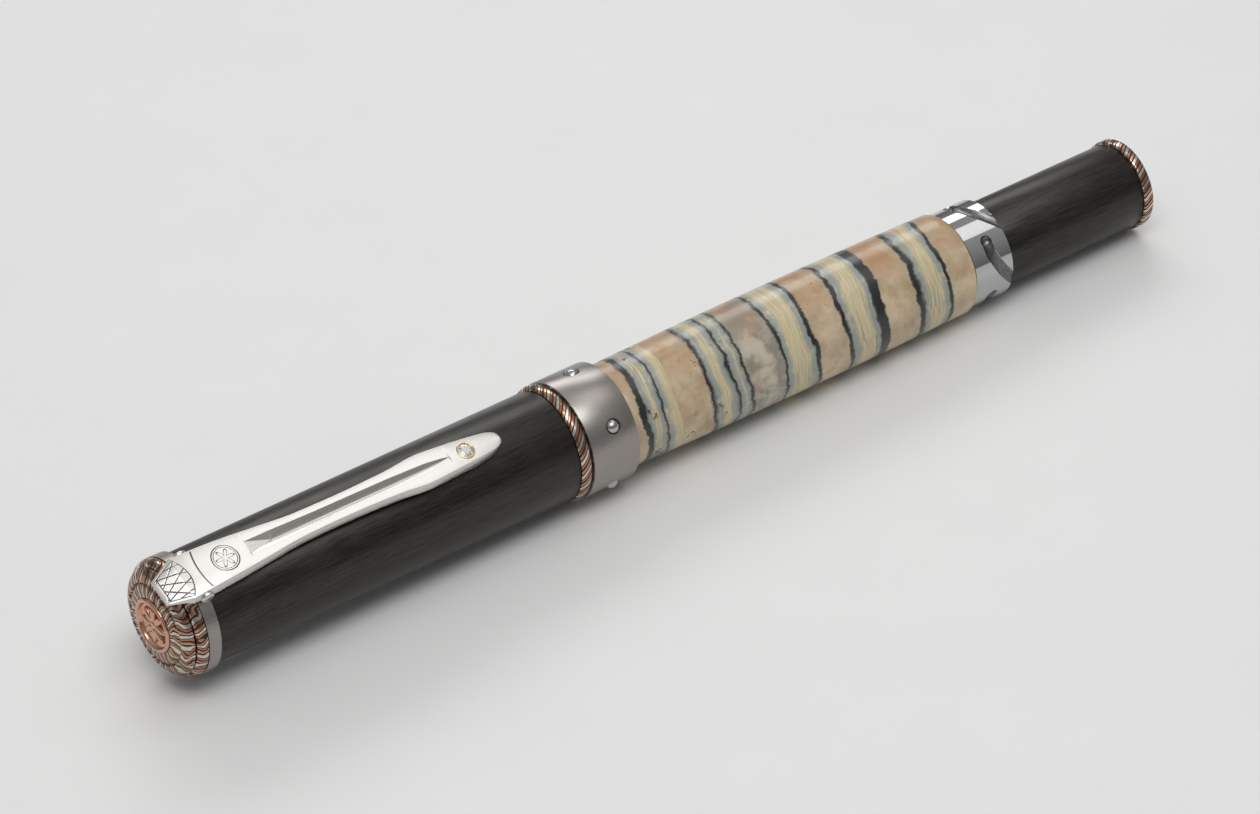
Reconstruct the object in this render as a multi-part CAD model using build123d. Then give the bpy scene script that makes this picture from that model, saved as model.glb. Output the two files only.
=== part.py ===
from build123d import *
import math
import os

# A capped fountain pen, lying on a table with its cap on.
# The pen's axis runs along X: the cap's medallion points to -X, the tail to +X.
# Below, "a" is the distance along the axis from the medallion's face, in mm.

# ---------------------------------------------------------------- main lengths
PEN_LENGTH = 140.0
HEAD_RING_A = 3.04           # front face of the smooth ring behind the finial
CAP_TUBE_A = 4.62            # where the cap's tube begins
BALL_A = 58.95               # plane of the locking balls
LOCK_EDGE = 2.84             # from the balls' plane to either edge of a lock ring
MOUTH_OVER = 0.02            # how far the cap's mouth stands past the lock ring
BAND_W = 6.4
TRIM_PITCH = 1.56            # width of the twisted trim ring with its gap
# Places worked out from others are kept to a thousandth of a millimetre, as on a drawing.
BAND_END_A = round(BALL_A + LOCK_EDGE + MOUTH_OVER, 3)
BAND_A = round(BAND_END_A - BAND_W, 3)
TRIM_A = round(BAND_A - TRIM_PITCH, 3)
DIMPLE_A = 115.03            # plane of the rear lock ring's dimples
SHOW_GAP = 0.12              # the fine gap left between pieces that meet in view
SEAT_GAP = 0.05              # the same between pieces that meet inside
LIP_A = 33.0                 # front lip of the grip section
NIB_TIP_A = 17.6
TENON_REACH = 7.05           # how far the section's tenon runs past the balls' plane
SECTION_TENON_END_A = round(BALL_A + TENON_REACH, 3)

# -------------------------------------------------------------------- outer radii
MEDALLION_R = 3.27
FINIAL_R = 7.0
HEAD_RING_R = 7.05
CAP_HEAD_R = 6.62            # the cap's tube swells slightly towards the band
CAP_REAR_R = 6.74
TRIM_R = 7.12
BAND_R = 7.17
BARREL_FRONT_R = 6.24
BARREL_MID_R = 6.54
BARREL_REAR_R = 6.28
LOCK_R = 5.98
TAIL_R = 5.28
TAIL_RING_R = 5.58

# ------------------------------------------------------------------- fits, walls
RUN = 0.02                   # running fit, radial
PRESS_GAP = 0.02             # between pieces that are pressed or glued together
SLIDE_GAP = 0.08             # loose sliding fit, radial
LINER_WALL = 0.24
LINER_R_IN = TAIL_RING_R + SLIDE_GAP
LINER_R = LINER_R_IN + LINER_WALL
TUBE_BORE_R = LINER_R + PRESS_GAP
CAGE_WALL = 0.32
CAGE_R_IN = LOCK_R + SLIDE_GAP
CAGE_R = CAGE_R_IN + CAGE_WALL
BARREL_TUBE_R = 5.0
BARREL_TUBE_WALL = 0.38
BARREL_BORE_R = BARREL_TUBE_R - BARREL_TUBE_WALL
SLEEVE_BORE_R = BARREL_TUBE_R + PRESS_GAP
TENON_R = BARREL_BORE_R - 0.04
AXIS_H = BAND_R              # the pen rests on the cap's band

# -------------------------------------------------------------------- ball lock
BALL_COUNT = 5
BALL_R = 0.9
BALL_CENTRE_R = 6.65
BALL_PHASE = 148.8           # angle of one ball about the axis, from +Y towards +Z
DIMPLE_PHASE = 136.2
BALL_PLAY = 0.03
TRACK_MILL_R = 1.0           # the ball mill that cut the lock rings' tracks
DIMPLE_R = 0.8
DIMPLE_DEPTH = 0.58
SEAT_CONE_R = 0.97
TRACK_LEAD = 2.8             # mm of cap travel for each radian of unlocking turn
TRACK_BEND_R = 4.0
# the track as milled: turn in degrees from the dimple, travel in mm towards the open end
TRACK = [(0, 0.0), (12, 0.0), (24, 0.4), (36, 1.05), (48, 1.95), (58, 2.85), (66, 3.7)]
UNLOCK_TURN = 73.0

# ------------------------------------------------------------------------- clip
CLIP_ANGLE = 116.0
CLIP_ROLL = CLIP_ANGLE - 90.0
CLIP_BLOCK_TOP = 8.65        # the plan outline holds at this height
CLIP_BLOCK_UNDER = 6.6
CLIP_LEAN = 0.45             # how much wider each side is at the lower height
PIVOT_A = 3.98
PIN_R = 0.35
PIN_CLEAR = 0.05
PIVOT_H = HEAD_RING_R + PIN_R + PIN_CLEAR      # the pin passes just outside the head ring
LUG_R = 0.55
LUG_HALF = 1.7
CHEEK_R = 0.56
CHEEK_HALF = 2.85
SPRING_T = 0.15
SPRING_HALF = 1.2
STONE_A = 40.4
STONE_R = 0.86
BEZEL_R = 1.1
# plan outline of the clip's top: (a, half width)
CLIP_PLAN = [(-0.45, 1.6), (2.3, 2.72), (5.0, 2.55), (9.0, 2.3), (13.0, 1.92), (18.0, 1.5),
             (23.0, 1.42), (30.0, 1.58), (34.5, 1.93), (38.0, 1.72), (42.0, 1.35)]
CLIP_TIP_A = 45.2
# side outline: (a, height above the pen's axis)
CLIP_TOP = [(2.4, 8.42), (8.0, 8.62), (16.0, 8.6), (26.0, 8.55), (35.0, 8.42), (41.0, 8.12),
            (CLIP_TIP_A, 7.75)]
CLIP_UNDER = [(CLIP_TIP_A, 7.3), (43.4, 6.96), (41.2, 6.86), (39.0, 7.1), (34.0, 7.38),
              (20.0, 7.5), (8.0, 7.5)]
CLIP_FRONT_TOP_H = 7.15
CLIP_FRONT_UNDER_H = 6.9
CLIP_HEAD_UNDER_H = PIVOT_H - 0.05
WEB_RISE = 0.65              # how far the cheeks' webs run up into the clip
# the long hollow facet: (a, half width, depth)
CLIP_HOLLOW = [(10.7, 0.92, 0.03), (12.6, 0.86, 0.55), (20.0, 0.66, 0.5), (30.0, 0.62, 0.45),
               (35.0, 0.5, 0.34), (38.3, 0.06, 0.03)]


def turned(*points):
    """A solid turned about the pen's axis from a closed outline of (a, r) points."""
    return revolve(make_face(Polyline(*points, close=True)), Axis.X)


def ring(a0, a1, r_in, r_out):
    """A plain tube from a0 to a1."""
    return turned((a0, r_in), (a1, r_in), (a1, r_out), (a0, r_out))


def rod(a0, a1, r):
    """A plain round bar from a0 to a1 on the pen's axis."""
    return turned((a0, 0), (a1, 0), (a1, r), (a0, r))


def block(a0, a1, t0, t1, h0, h1):
    """A box in the clip's own directions: along the pen, across it and away from the axis."""
    size = (a1 - a0, t1 - t0, h1 - h0)
    return Pos((a0 + a1) / 2, (t0 + t1) / 2, (h0 + h1) / 2) * Box(*size)


def cross_bar(a, h, r, t0, t1):
    """A round bar across the pen, along the clip's pivot direction."""
    return Pos(a, (t0 + t1) / 2, h) * Rot(90, 0, 0) * Cylinder(r, t1 - t0)


def clip_turn(shape):
    """Turn a piece built upright to the clip's place round the pen."""
    return Rot(CLIP_ROLL, 0, 0) * shape


def around(shape, count):
    """Copies of a shape, evenly spaced about the pen's axis."""
    return [Rot(360.0 / count * i, 0, 0) * shape for i in range(count)]


def on_track(centre_a, phase, turn, travel, way):
    """A point of a ball's path: way is +1 for a track that opens to the tail, -1 to the cap."""
    angle = math.radians(phase + way * turn)
    y = BALL_CENTRE_R * math.cos(angle)
    z = BALL_CENTRE_R * math.sin(angle)
    return (centre_a + way * travel, y, z)


def milled_track(centre_a, phase, steps, way):
    """What the ball mill takes away along one track."""
    points = [on_track(centre_a, phase, turn, travel, way) for turn, travel in steps]
    path = FilletPolyline(*points, radius=[TRACK_BEND_R] * (len(points) - 2))
    start = Plane(origin=path @ 0, z_dir=path % 0)
    swept = sweep(start * Circle(TRACK_MILL_R), path=path)
    return swept + Pos(*points[0]) * Sphere(TRACK_MILL_R)


def lock_ring(centre_a, phase, way, tracks):
    """A lock ring: five tracks that open at one edge, each ending in a dimple."""
    blank = ring(centre_a - LOCK_EDGE, centre_a + LOCK_EDGE, SLEEVE_BORE_R, LOCK_R)
    blank = chamfer(blank.edges().filter_by(GeomType.CIRCLE).group_by(SortBy.RADIUS)[-1], 0.12)
    dimple_at = LOCK_R - DIMPLE_DEPTH + DIMPLE_R
    angle = math.radians(phase)
    centre = (centre_a, dimple_at * math.cos(angle), dimple_at * math.sin(angle))
    cuts = [milled_track(centre_a, phase, steps, way) for steps in tracks]
    cuts.append(Pos(*centre) * Sphere(DIMPLE_R))
    for cut in cuts:
        for copy in around(cut, BALL_COUNT):
            blank = blank - copy
    return blank


def radial_hole(a, angle, r0, r1, hole_r, mouth_r=None):
    """A hole along a radius, from r0 to r1, straight or opening out to mouth_r."""
    mouth = hole_r if mouth_r is None else mouth_r
    cone = revolve(make_face(Polyline((0, r0), (hole_r, r0), (mouth, r1), (0, r1), close=True)), Axis.Y)
    upright = Rot(90, 0, 0) * cone
    return Rot(angle - 90, 0, 0) * Pos(a, 0, 0) * upright


# ---------------------------------------------------------------- barrel, lock rings, tail
SLEEVE_A0 = BALL_A + LOCK_EDGE + SHOW_GAP
REAR_RING_A0 = DIMPLE_A - LOCK_EDGE
REAR_RING_A1 = DIMPLE_A + LOCK_EDGE
SLEEVE_A1 = REAR_RING_A0 - SEAT_GAP
sleeve_mid = (SLEEVE_A0 + SLEEVE_A1) / 2
EDGE_ROUND = 0.25
BARREL_STEPS = 10


def barrel_r(a):
    """Outer radius of the barrel: an even swelling from either end to the middle."""
    end_r = BARREL_FRONT_R if a < sleeve_mid else BARREL_REAR_R
    off = (a - sleeve_mid) / (SLEEVE_A1 - sleeve_mid)
    return BARREL_MID_R - (BARREL_MID_R - end_r) * off ** 2


swell_a0 = SLEEVE_A0 + EDGE_ROUND
swell_a1 = SLEEVE_A1 - EDGE_ROUND
swell = [swell_a0 + (swell_a1 - swell_a0) * i / BARREL_STEPS for i in range(BARREL_STEPS + 1)]
barrel_sleeve = turned(
    (SLEEVE_A0, SLEEVE_BORE_R), (SLEEVE_A0, barrel_r(swell_a0) - EDGE_ROUND),
    *[(a, barrel_r(a)) for a in swell],
    (SLEEVE_A1, barrel_r(swell_a1) - EDGE_ROUND), (SLEEVE_A1, SLEEVE_BORE_R))

FRONT_RING_A0 = BALL_A - LOCK_EDGE
barrel_tube = ring(FRONT_RING_A0 + SEAT_GAP, REAR_RING_A1 - SEAT_GAP, BARREL_BORE_R, BARREL_TUBE_R)

# the straight helix that the cap follows while it unlocks, beside the milled track
turn_steps = [UNLOCK_TURN * i / 5 for i in range(6)] + [UNLOCK_TURN * 1.12]
helix = [(turn, TRACK_LEAD * math.radians(turn)) for turn in turn_steps]
front_lock_ring = lock_ring(BALL_A, BALL_PHASE, -1, [TRACK, helix])
rear_lock_ring = lock_ring(DIMPLE_A, DIMPLE_PHASE, 1, [TRACK])

TAIL_RING_W = 1.4
TAIL_RING_A0 = PEN_LENGTH - TAIL_RING_W
TAIL_BORE_R = 4.35
SPIGOT_BORE_R = 4.0
SPIGOT_LENGTH = 9.0
NECK_R = 4.9
TAIL_A0 = REAR_RING_A1 + SEAT_GAP
TAIL_END_A = PEN_LENGTH - 0.4
tail_tube = turned(
    (TAIL_A0 - SPIGOT_LENGTH, SPIGOT_BORE_R), (TAIL_A0 + 0.6, SPIGOT_BORE_R),
    (TAIL_A0 + 1.2, TAIL_BORE_R), (TAIL_END_A, TAIL_BORE_R), (TAIL_END_A, NECK_R),
    (TAIL_RING_A0 - SEAT_GAP, NECK_R), (TAIL_RING_A0 - SEAT_GAP, TAIL_R), (TAIL_A0, TAIL_R),
    (TAIL_A0, TENON_R), (TAIL_A0 - SPIGOT_LENGTH, TENON_R))
tail_ring = ring(TAIL_RING_A0, PEN_LENGTH, NECK_R + PRESS_GAP, TAIL_RING_R)
outer_edges = tail_ring.edges().filter_by(GeomType.CIRCLE).group_by(SortBy.RADIUS)[-1]
tail_ring = fillet(outer_edges, 0.35)
PLUG_LENGTH = 3.6
plug_seat = TAIL_END_A + SEAT_GAP
tail_plug = turned(
    (plug_seat - PLUG_LENGTH, 0), (PEN_LENGTH - 0.05, 0), (PEN_LENGTH - 0.15, NECK_R - 0.6),
    (PEN_LENGTH - 0.2, NECK_R), (plug_seat, NECK_R), (plug_seat, TAIL_BORE_R - PRESS_GAP),
    (plug_seat - PLUG_LENGTH, TAIL_BORE_R - PRESS_GAP))

# ----------------------------------------------------------------- section and nib unit
UNIT_BORE_R = 3.65
CONVERTER_BORE_R = 3.55
UNIT_END_A = 45.5
FLANGE_A0 = FRONT_RING_A0 - 0.9
FLANGE_A1 = FRONT_RING_A0 - SEAT_GAP
FLANGE_R = LINER_R_IN - SLIDE_GAP
LIP_R = 4.95
WAIST_R = 4.42
WAIST_A = 41.0
O_RING_W = 0.5
O_RING_A = SECTION_TENON_END_A - O_RING_W * 4
O_RING_SIDES = 8
O_RING_SEAT_R = 4.08
grip_curve = Spline((LIP_A + 1.6, LIP_R - 0.06), (WAIST_A, WAIST_R), (FLANGE_A0 - 1.0, FLANGE_R - 0.22))
grip_rest = Polyline(
    (FLANGE_A0 - 1.0, FLANGE_R - 0.22), (FLANGE_A0, FLANGE_R), (FLANGE_A1, FLANGE_R),
    (FLANGE_A1, TENON_R), (O_RING_A, TENON_R), (O_RING_A, O_RING_SEAT_R),
    (O_RING_A + O_RING_W, O_RING_SEAT_R), (O_RING_A + O_RING_W, TENON_R),
    (SECTION_TENON_END_A, TENON_R), (SECTION_TENON_END_A, CONVERTER_BORE_R),
    (UNIT_END_A, CONVERTER_BORE_R), (UNIT_END_A, UNIT_BORE_R), (LIP_A, UNIT_BORE_R),
    (LIP_A, LIP_R - 0.35), (LIP_A + 0.35, LIP_R), (LIP_A + 1.0, LIP_R), (LIP_A + 1.6, LIP_R - 0.06))
grip_section = revolve(make_face([grip_curve, grip_rest]), Axis.X)
o_ring_r = (O_RING_W - 2 * PRESS_GAP) / 2
o_ring_profile = Pos(O_RING_A + O_RING_W / 2, TENON_R - o_ring_r) * RegularPolygon(o_ring_r, O_RING_SIDES)
section_o_ring = revolve(o_ring_profile, Axis.X)

NIB_T = 0.32
NIB_R = 3.32
NIB_END_A = 42.0
COLLAR_A0 = LIP_A + 1.0
COLLAR_A1 = UNIT_END_A - 0.1
PIPE_R = 1.25
PIPE_BORE_R = 0.5
PIPE_END_A = 51.0
collar_r = UNIT_BORE_R - PRESS_GAP * 2
collar_bore = NIB_R + PRESS_GAP * 2
nib_collar = turned(
    (COLLAR_A0, collar_bore), (COLLAR_A1 - 1.2, collar_bore), (COLLAR_A1 - 1.2, PIPE_BORE_R),
    (PIPE_END_A, PIPE_BORE_R), (PIPE_END_A, PIPE_R), (COLLAR_A1, PIPE_R), (COLLAR_A1, collar_r),
    (COLLAR_A0, collar_r))

nib_outer = [(NIB_TIP_A, 0.5), (20.0, 1.25), (26.0, 2.72), (31.0, NIB_R), (NIB_END_A, NIB_R)]
nib_inner = [(a, r - NIB_T) for a, r in reversed(nib_outer)]
nib_shell = turned(*nib_outer, *nib_inner)
plan_half = [(NIB_TIP_A, 0.42), (20.6, 1.0), (24.5, 2.3), (28.5, 3.4), (NIB_END_A, 3.4)]
plan_points = plan_half + [(a, -t) for a, t in reversed(plan_half)]
NIB_KEEP_H = 0.35
nib_plan = Pos(0, 0, NIB_KEEP_H - 0.15) * extrude(make_face(Polyline(*plan_points, close=True)), 4)
BREATHER_A = 26.2
nib = nib_shell & nib_plan
nib = nib - block(NIB_TIP_A - 0.6, BREATHER_A, -0.06, 0.06, 0, 4)
nib = nib - Pos(BREATHER_A, 0, 2.5) * Cylinder(0.5, 4)
tipping = Pos(NIB_TIP_A + 0.45, 0, 0.42) * Sphere(0.42)
nib = nib + tipping
FEED_R = NIB_R - NIB_T - 0.05
FEED_TIP_A = NIB_TIP_A + 1.8
FEED_FULL_A = 34.0           # from here to its end the feed fills the nib
FEED_END_A = NIB_END_A + 2.0
feed = turned((FEED_TIP_A, 0), (FEED_TIP_A, 0.35), (FEED_TIP_A + 4.6, 1.6), (FEED_FULL_A - 3.5, FEED_R - 0.15),
              (FEED_FULL_A, FEED_R), (FEED_END_A, FEED_R), (FEED_END_A, 0))
feed = feed - block(FEED_TIP_A - 0.4, FEED_FULL_A, -4, 4, NIB_KEEP_H + 1.6, 4)
feed = feed - Pos(NIB_TIP_A + 0.45, 0, 0.42) * Sphere(0.6)
FIN_COUNT = 8
FIN_A0 = FEED_TIP_A + 4.8
FIN_PITCH = 1.15
FIN_SLOT = 0.45
for i in range(FIN_COUNT):
    fin_a = FIN_A0 + FIN_PITCH * i
    feed = feed - block(fin_a, fin_a + FIN_SLOT, -4, 4, -4, -0.85)

# -------------------------------------------------------------------------- converter
MOUTH_A = COLLAR_A1 + 0.7
MOUTH_END_A = 57.0
RESERVOIR_R = 3.2
RESERVOIR_WALL = 0.5
RESERVOIR_A1 = 90.0
CONVERTER_SOCKET = 2.0
CONVERTER_R = 3.45
CONVERTER_END_A = 103.0
KNOB_END_A = 117.0
ROD_R = 0.8
PISTON_A = 84.2
PISTON_LENGTH = 3.4
socket_r = RESERVOIR_R + PRESS_GAP
converter_collar = turned(
    (MOUTH_A, PIPE_R + RUN), (PIPE_END_A + 0.8, PIPE_R + RUN), (PIPE_END_A + 1.4, ROD_R),
    (MOUTH_END_A - CONVERTER_SOCKET, ROD_R), (MOUTH_END_A - CONVERTER_SOCKET, socket_r),
    (MOUTH_END_A, socket_r), (MOUTH_END_A, CONVERTER_R), (MOUTH_A + 0.8, CONVERTER_R),
    (MOUTH_A, CONVERTER_R - 0.5))
converter_tube = ring(MOUTH_END_A - CONVERTER_SOCKET + SEAT_GAP, RESERVOIR_A1 - SEAT_GAP,
                      RESERVOIR_R - RESERVOIR_WALL, RESERVOIR_R)
SLEEVE_BUSH = 3.0
KNOB_SPIGOT_R = 2.5
KNOB_SPIGOT = 6.0
sleeve_a0 = RESERVOIR_A1 - CONVERTER_SOCKET
converter_sleeve = turned(
    (sleeve_a0, socket_r), (RESERVOIR_A1, socket_r), (RESERVOIR_A1, ROD_R + RUN),
    (RESERVOIR_A1 + SLEEVE_BUSH, ROD_R + RUN), (RESERVOIR_A1 + SLEEVE_BUSH, KNOB_SPIGOT_R + RUN),
    (CONVERTER_END_A, KNOB_SPIGOT_R + RUN), (CONVERTER_END_A, CONVERTER_R), (sleeve_a0, CONVERTER_R))
knob_a0 = CONVERTER_END_A + SEAT_GAP
KNOB_CAP = 2.5                # solid end of the knob, behind the rod's bore
converter_knob = turned(
    (knob_a0 - KNOB_SPIGOT, ROD_R + RUN), (KNOB_END_A - KNOB_CAP, ROD_R + RUN), (KNOB_END_A - KNOB_CAP, 0),
    (KNOB_END_A, 0), (KNOB_END_A, CONVERTER_R - 0.6), (KNOB_END_A - 0.5, CONVERTER_R - 0.15),
    (knob_a0, CONVERTER_R - 0.15), (knob_a0, KNOB_SPIGOT_R), (knob_a0 - KNOB_SPIGOT, KNOB_SPIGOT_R))
piston_r = RESERVOIR_R - RESERVOIR_WALL - RUN
lip_r = piston_r - 0.35
piston_end = PISTON_A + PISTON_LENGTH
converter_piston = turned(
    (PISTON_A, 0), (PISTON_A, piston_r), (PISTON_A + 0.8, piston_r), (PISTON_A + 1.1, lip_r),
    (piston_end - 1.1, lip_r), (piston_end - 0.8, piston_r), (piston_end, piston_r), (piston_end, 0))
ROD_LENGTH = 24.0
converter_rod = rod(piston_end, piston_end + ROD_LENGTH, ROD_R)

# ---------------------------------------------------------------- inner cap and its spring
INNER_CAP_A0 = 12.0
INNER_CAP_FLOOR = 1.0
INNER_CAP_R = 5.3
INNER_CAP_WALL = 0.8
BOSS_R = 2.7
BOSS_LENGTH = 1.8
HEAD_PLUG_A1 = 6.2
WASHER_A0 = HEAD_PLUG_A1 + 0.1
WASHER_T = 0.4
COIL_R = 3.45
WIRE_R = 0.28
inner_cap_end = LIP_A - 0.1
inner_cap = turned(
    (INNER_CAP_A0 - BOSS_LENGTH, 0), (INNER_CAP_A0 - BOSS_LENGTH, BOSS_R), (INNER_CAP_A0, BOSS_R),
    (INNER_CAP_A0, INNER_CAP_R - 0.3), (INNER_CAP_A0 + 0.3, INNER_CAP_R), (inner_cap_end, INNER_CAP_R),
    (inner_cap_end, INNER_CAP_R - INNER_CAP_WALL),
    (INNER_CAP_A0 + INNER_CAP_FLOOR, INNER_CAP_R - INNER_CAP_WALL), (INNER_CAP_A0 + INNER_CAP_FLOOR, 0))
WASHER_BORE_R = 2.5
WASHER_R = 4.9
spring_washer = ring(WASHER_A0, WASHER_A0 + WASHER_T, WASHER_BORE_R, WASHER_R)
coil_a0 = WASHER_A0 + WASHER_T + WIRE_R + 0.05
coil_a1 = INNER_CAP_A0 - WIRE_R - 0.05
COIL_TURNS = 4
CHORDS = 12                  # straight steps in each turn of the coil
WIRE_SIDES = 6


def coil_point(step):
    """A point of the spring's coil, by its step round and along."""
    angle = math.tau * step / CHORDS
    a = coil_a0 + (coil_a1 - coil_a0) * step / (CHORDS * COIL_TURNS)
    return (a, COIL_R * math.cos(angle), COIL_R * math.sin(angle))


coil_path = Polyline(*[coil_point(step) for step in range(CHORDS * COIL_TURNS + 1)])
coil_start = Plane(origin=coil_path @ 0, z_dir=coil_path % 0)
inner_cap_spring = sweep(coil_start * RegularPolygon(WIRE_R, WIRE_SIDES), path=coil_path,
                         transition=Transition.RIGHT)

# --------------------------------------------------------------------- cap, band, balls
cap_tube = turned((CAP_TUBE_A, TUBE_BORE_R), (TRIM_A - SEAT_GAP, TUBE_BORE_R),
                  (TRIM_A - SEAT_GAP, CAP_REAR_R), (CAP_TUBE_A, CAP_HEAD_R))
LINER_END_A = BAND_A + 0.5
cap_liner = ring(HEAD_PLUG_A1 + 0.1, LINER_END_A, LINER_R_IN, LINER_R)
trim_half = (BAND_A - SEAT_GAP - TRIM_A) / 2
trim_curve = ThreePointArc((TRIM_A, TRIM_R - 0.32), (TRIM_A + trim_half, TRIM_R),
                           (BAND_A - SEAT_GAP, TRIM_R - 0.32))
trim_rest = Polyline((BAND_A - SEAT_GAP, TRIM_R - 0.32), (BAND_A - SEAT_GAP, TUBE_BORE_R),
                     (TRIM_A, TUBE_BORE_R), (TRIM_A, TRIM_R - 0.32))
cap_trim_ring = revolve(make_face([trim_curve, trim_rest]), Axis.X)

CAGE_A0 = LINER_END_A + 0.1
cage_a1 = BAND_END_A - SEAT_GAP
cap_band = turned(
    (BAND_A, TUBE_BORE_R), (CAGE_A0 - SEAT_GAP, TUBE_BORE_R), (CAGE_A0 - SEAT_GAP, CAGE_R + PRESS_GAP),
    (BAND_END_A, CAGE_R + PRESS_GAP), (BAND_END_A, BAND_R - 0.12), (BAND_END_A - 0.12, BAND_R),
    (BAND_A + 0.12, BAND_R), (BAND_A, BAND_R - 0.12))
ball_cage = ring(CAGE_A0, cage_a1, CAGE_R_IN, CAGE_R)
pocket_r = BALL_R + BALL_PLAY
LIP_OFF = 0.27               # where the retaining lip stands above the ball's centre
lip_hole_r = math.sqrt(BALL_R ** 2 - LIP_OFF ** 2) + BALL_PLAY
balls = []
for i in range(BALL_COUNT):
    angle = BALL_PHASE + 360.0 / BALL_COUNT * i
    lip_at = BALL_CENTRE_R + LIP_OFF
    cap_band = cap_band - radial_hole(BALL_A, angle, CAGE_R - 0.5, lip_at, pocket_r)
    cap_band = cap_band - radial_hole(BALL_A, angle, lip_at - 0.02, BAND_R + 0.05, lip_hole_r, SEAT_CONE_R)
    ball_cage = ball_cage - radial_hole(BALL_A, angle, CAGE_R_IN - 0.5, CAGE_R + 0.5, pocket_r)
    ball = Pos(BALL_A, BALL_CENTRE_R * math.cos(math.radians(angle)),
               BALL_CENTRE_R * math.sin(math.radians(angle))) * Sphere(BALL_R)
    balls.append(ball)
lock_balls = Compound(children=balls)

# ------------------------------------------------------------------- finial and head ring
SPIGOT_R = 4.0
MEDALLION_SEAT_A = 0.95
SCREW_R = 1.0
SCREW_TIP_A = 2.0
# the finial's outline, as (a, r): the large bead, a fine groove, the last small bead
BEAD_START = (0.5, 4.85)
BEAD_MIDDLE = (0.98, 5.82)
BEAD_END = (1.6, 6.4)
GROOVE = (1.66, 6.28)
LAST_START = (1.72, 6.5)
LAST_MIDDLE = (2.2, 6.93)
LAST_END = (2.75, FINIAL_R)
FACE_A = 0.26
finial_bead = ThreePointArc(BEAD_START, BEAD_MIDDLE, BEAD_END)
finial_ring = ThreePointArc(LAST_START, LAST_MIDDLE, LAST_END)
finial_line = Polyline(
    LAST_END, (HEAD_RING_A - SEAT_GAP, FINIAL_R), (HEAD_RING_A - SEAT_GAP, SPIGOT_R),
    (CAP_TUBE_A, SPIGOT_R), (CAP_TUBE_A, SCREW_R + RUN), (SCREW_TIP_A - 0.1, SCREW_R + RUN),
    (SCREW_TIP_A - 0.1, 0), (MEDALLION_SEAT_A, 0), (MEDALLION_SEAT_A, MEDALLION_R + PRESS_GAP),
    (FACE_A, MEDALLION_R + PRESS_GAP), BEAD_START)
finial = revolve(make_face([finial_bead, Line(BEAD_END, GROOVE), Line(GROOVE, LAST_START), finial_ring,
                            finial_line]), Axis.X)
medallion_back = MEDALLION_SEAT_A - 0.03
RIM_W = 0.4
finial_medallion = turned(
    (medallion_back, 0), (0.12, 0), (0.3, 1.9), (0.34, MEDALLION_R - RIM_W - 0.15),
    (0.08, MEDALLION_R - RIM_W), (0.0, MEDALLION_R - RIM_W * 0.6), (0.06, MEDALLION_R - 0.06),
    (0.2, MEDALLION_R), (medallion_back, MEDALLION_R))
SCREW_HEAD_R = 2.2
screw_head_a = HEAD_PLUG_A1 + 0.02
finial_screw = turned(
    (SCREW_TIP_A, 0), (SCREW_TIP_A, SCREW_R - 0.2), (SCREW_TIP_A + 0.2, SCREW_R), (screw_head_a, SCREW_R),
    (screw_head_a, SCREW_HEAD_R), (screw_head_a + 1.3, SCREW_HEAD_R), (screw_head_a + 1.7, 1.6),
    (screw_head_a + 1.7, 0))
finial_screw = finial_screw - block(screw_head_a + 1.1, screw_head_a + 2, -3, 3, -0.25, 0.25)

HEAD_SLOT_PLAY = 0.05
head_ring = ring(HEAD_RING_A, CAP_TUBE_A - 0.03, SPIGOT_R + PRESS_GAP * 2, HEAD_RING_R)
lug_slot = block(PIVOT_A - LUG_R - HEAD_SLOT_PLAY, CAP_TUBE_A + 1, -LUG_HALF - HEAD_SLOT_PLAY,
                 LUG_HALF + HEAD_SLOT_PLAY, 0, 9)
spring_slot = block(HEAD_RING_A - 1, HEAD_RING_A + SPRING_T + HEAD_SLOT_PLAY, -SPRING_HALF - HEAD_SLOT_PLAY,
                    SPRING_HALF + HEAD_SLOT_PLAY, 0, 9)
top_ring = clip_turn(head_ring - lug_slot - spring_slot)

plug_a0 = CAP_TUBE_A + 0.04
head_plug = turned((plug_a0, SCREW_R + 0.1), (HEAD_PLUG_A1, SCREW_R + 0.1),
                   (HEAD_PLUG_A1, TUBE_BORE_R - 0.08), (plug_a0, TUBE_BORE_R - 0.08))
ARM_FOOT_H = SPIGOT_R + 0.2
arm_a0 = PIVOT_A - LUG_R
arm_a1 = PIVOT_A + LUG_R
arm = block(arm_a0, arm_a1, -LUG_HALF, LUG_HALF, ARM_FOOT_H, PIVOT_H)
foot = block(arm_a0, plug_a0 + 0.2, -LUG_HALF, LUG_HALF, ARM_FOOT_H, TUBE_BORE_R - 0.5)
lug = cross_bar(PIVOT_A, PIVOT_H, LUG_R, -LUG_HALF, LUG_HALF)
pin_hole = cross_bar(PIVOT_A, PIVOT_H, PIN_R + RUN, -4, 4)
clip_mount = clip_turn(head_plug + arm + foot + lug - pin_hole)
PIN_END = CHEEK_HALF - 0.05
clip_pin = clip_turn(cross_bar(PIVOT_A, PIVOT_H, PIN_R, -PIN_END, PIN_END))

leaf_under = FINIAL_R + 0.08
leaf = make_face(Polyline(
    (HEAD_RING_A, 4.4), (HEAD_RING_A + SPRING_T, 4.4), (HEAD_RING_A + SPRING_T, leaf_under + SPRING_T),
    (1.7, leaf_under + SPRING_T + 0.06), (1.7, leaf_under + 0.06), (HEAD_RING_A, leaf_under), close=True))
clip_spring = clip_turn(Pos(0, SPRING_HALF, 0) * Rot(90, 0, 0) * extrude(leaf, SPRING_HALF * 2))

# -------------------------------------------------------------------------------- clip


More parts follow.
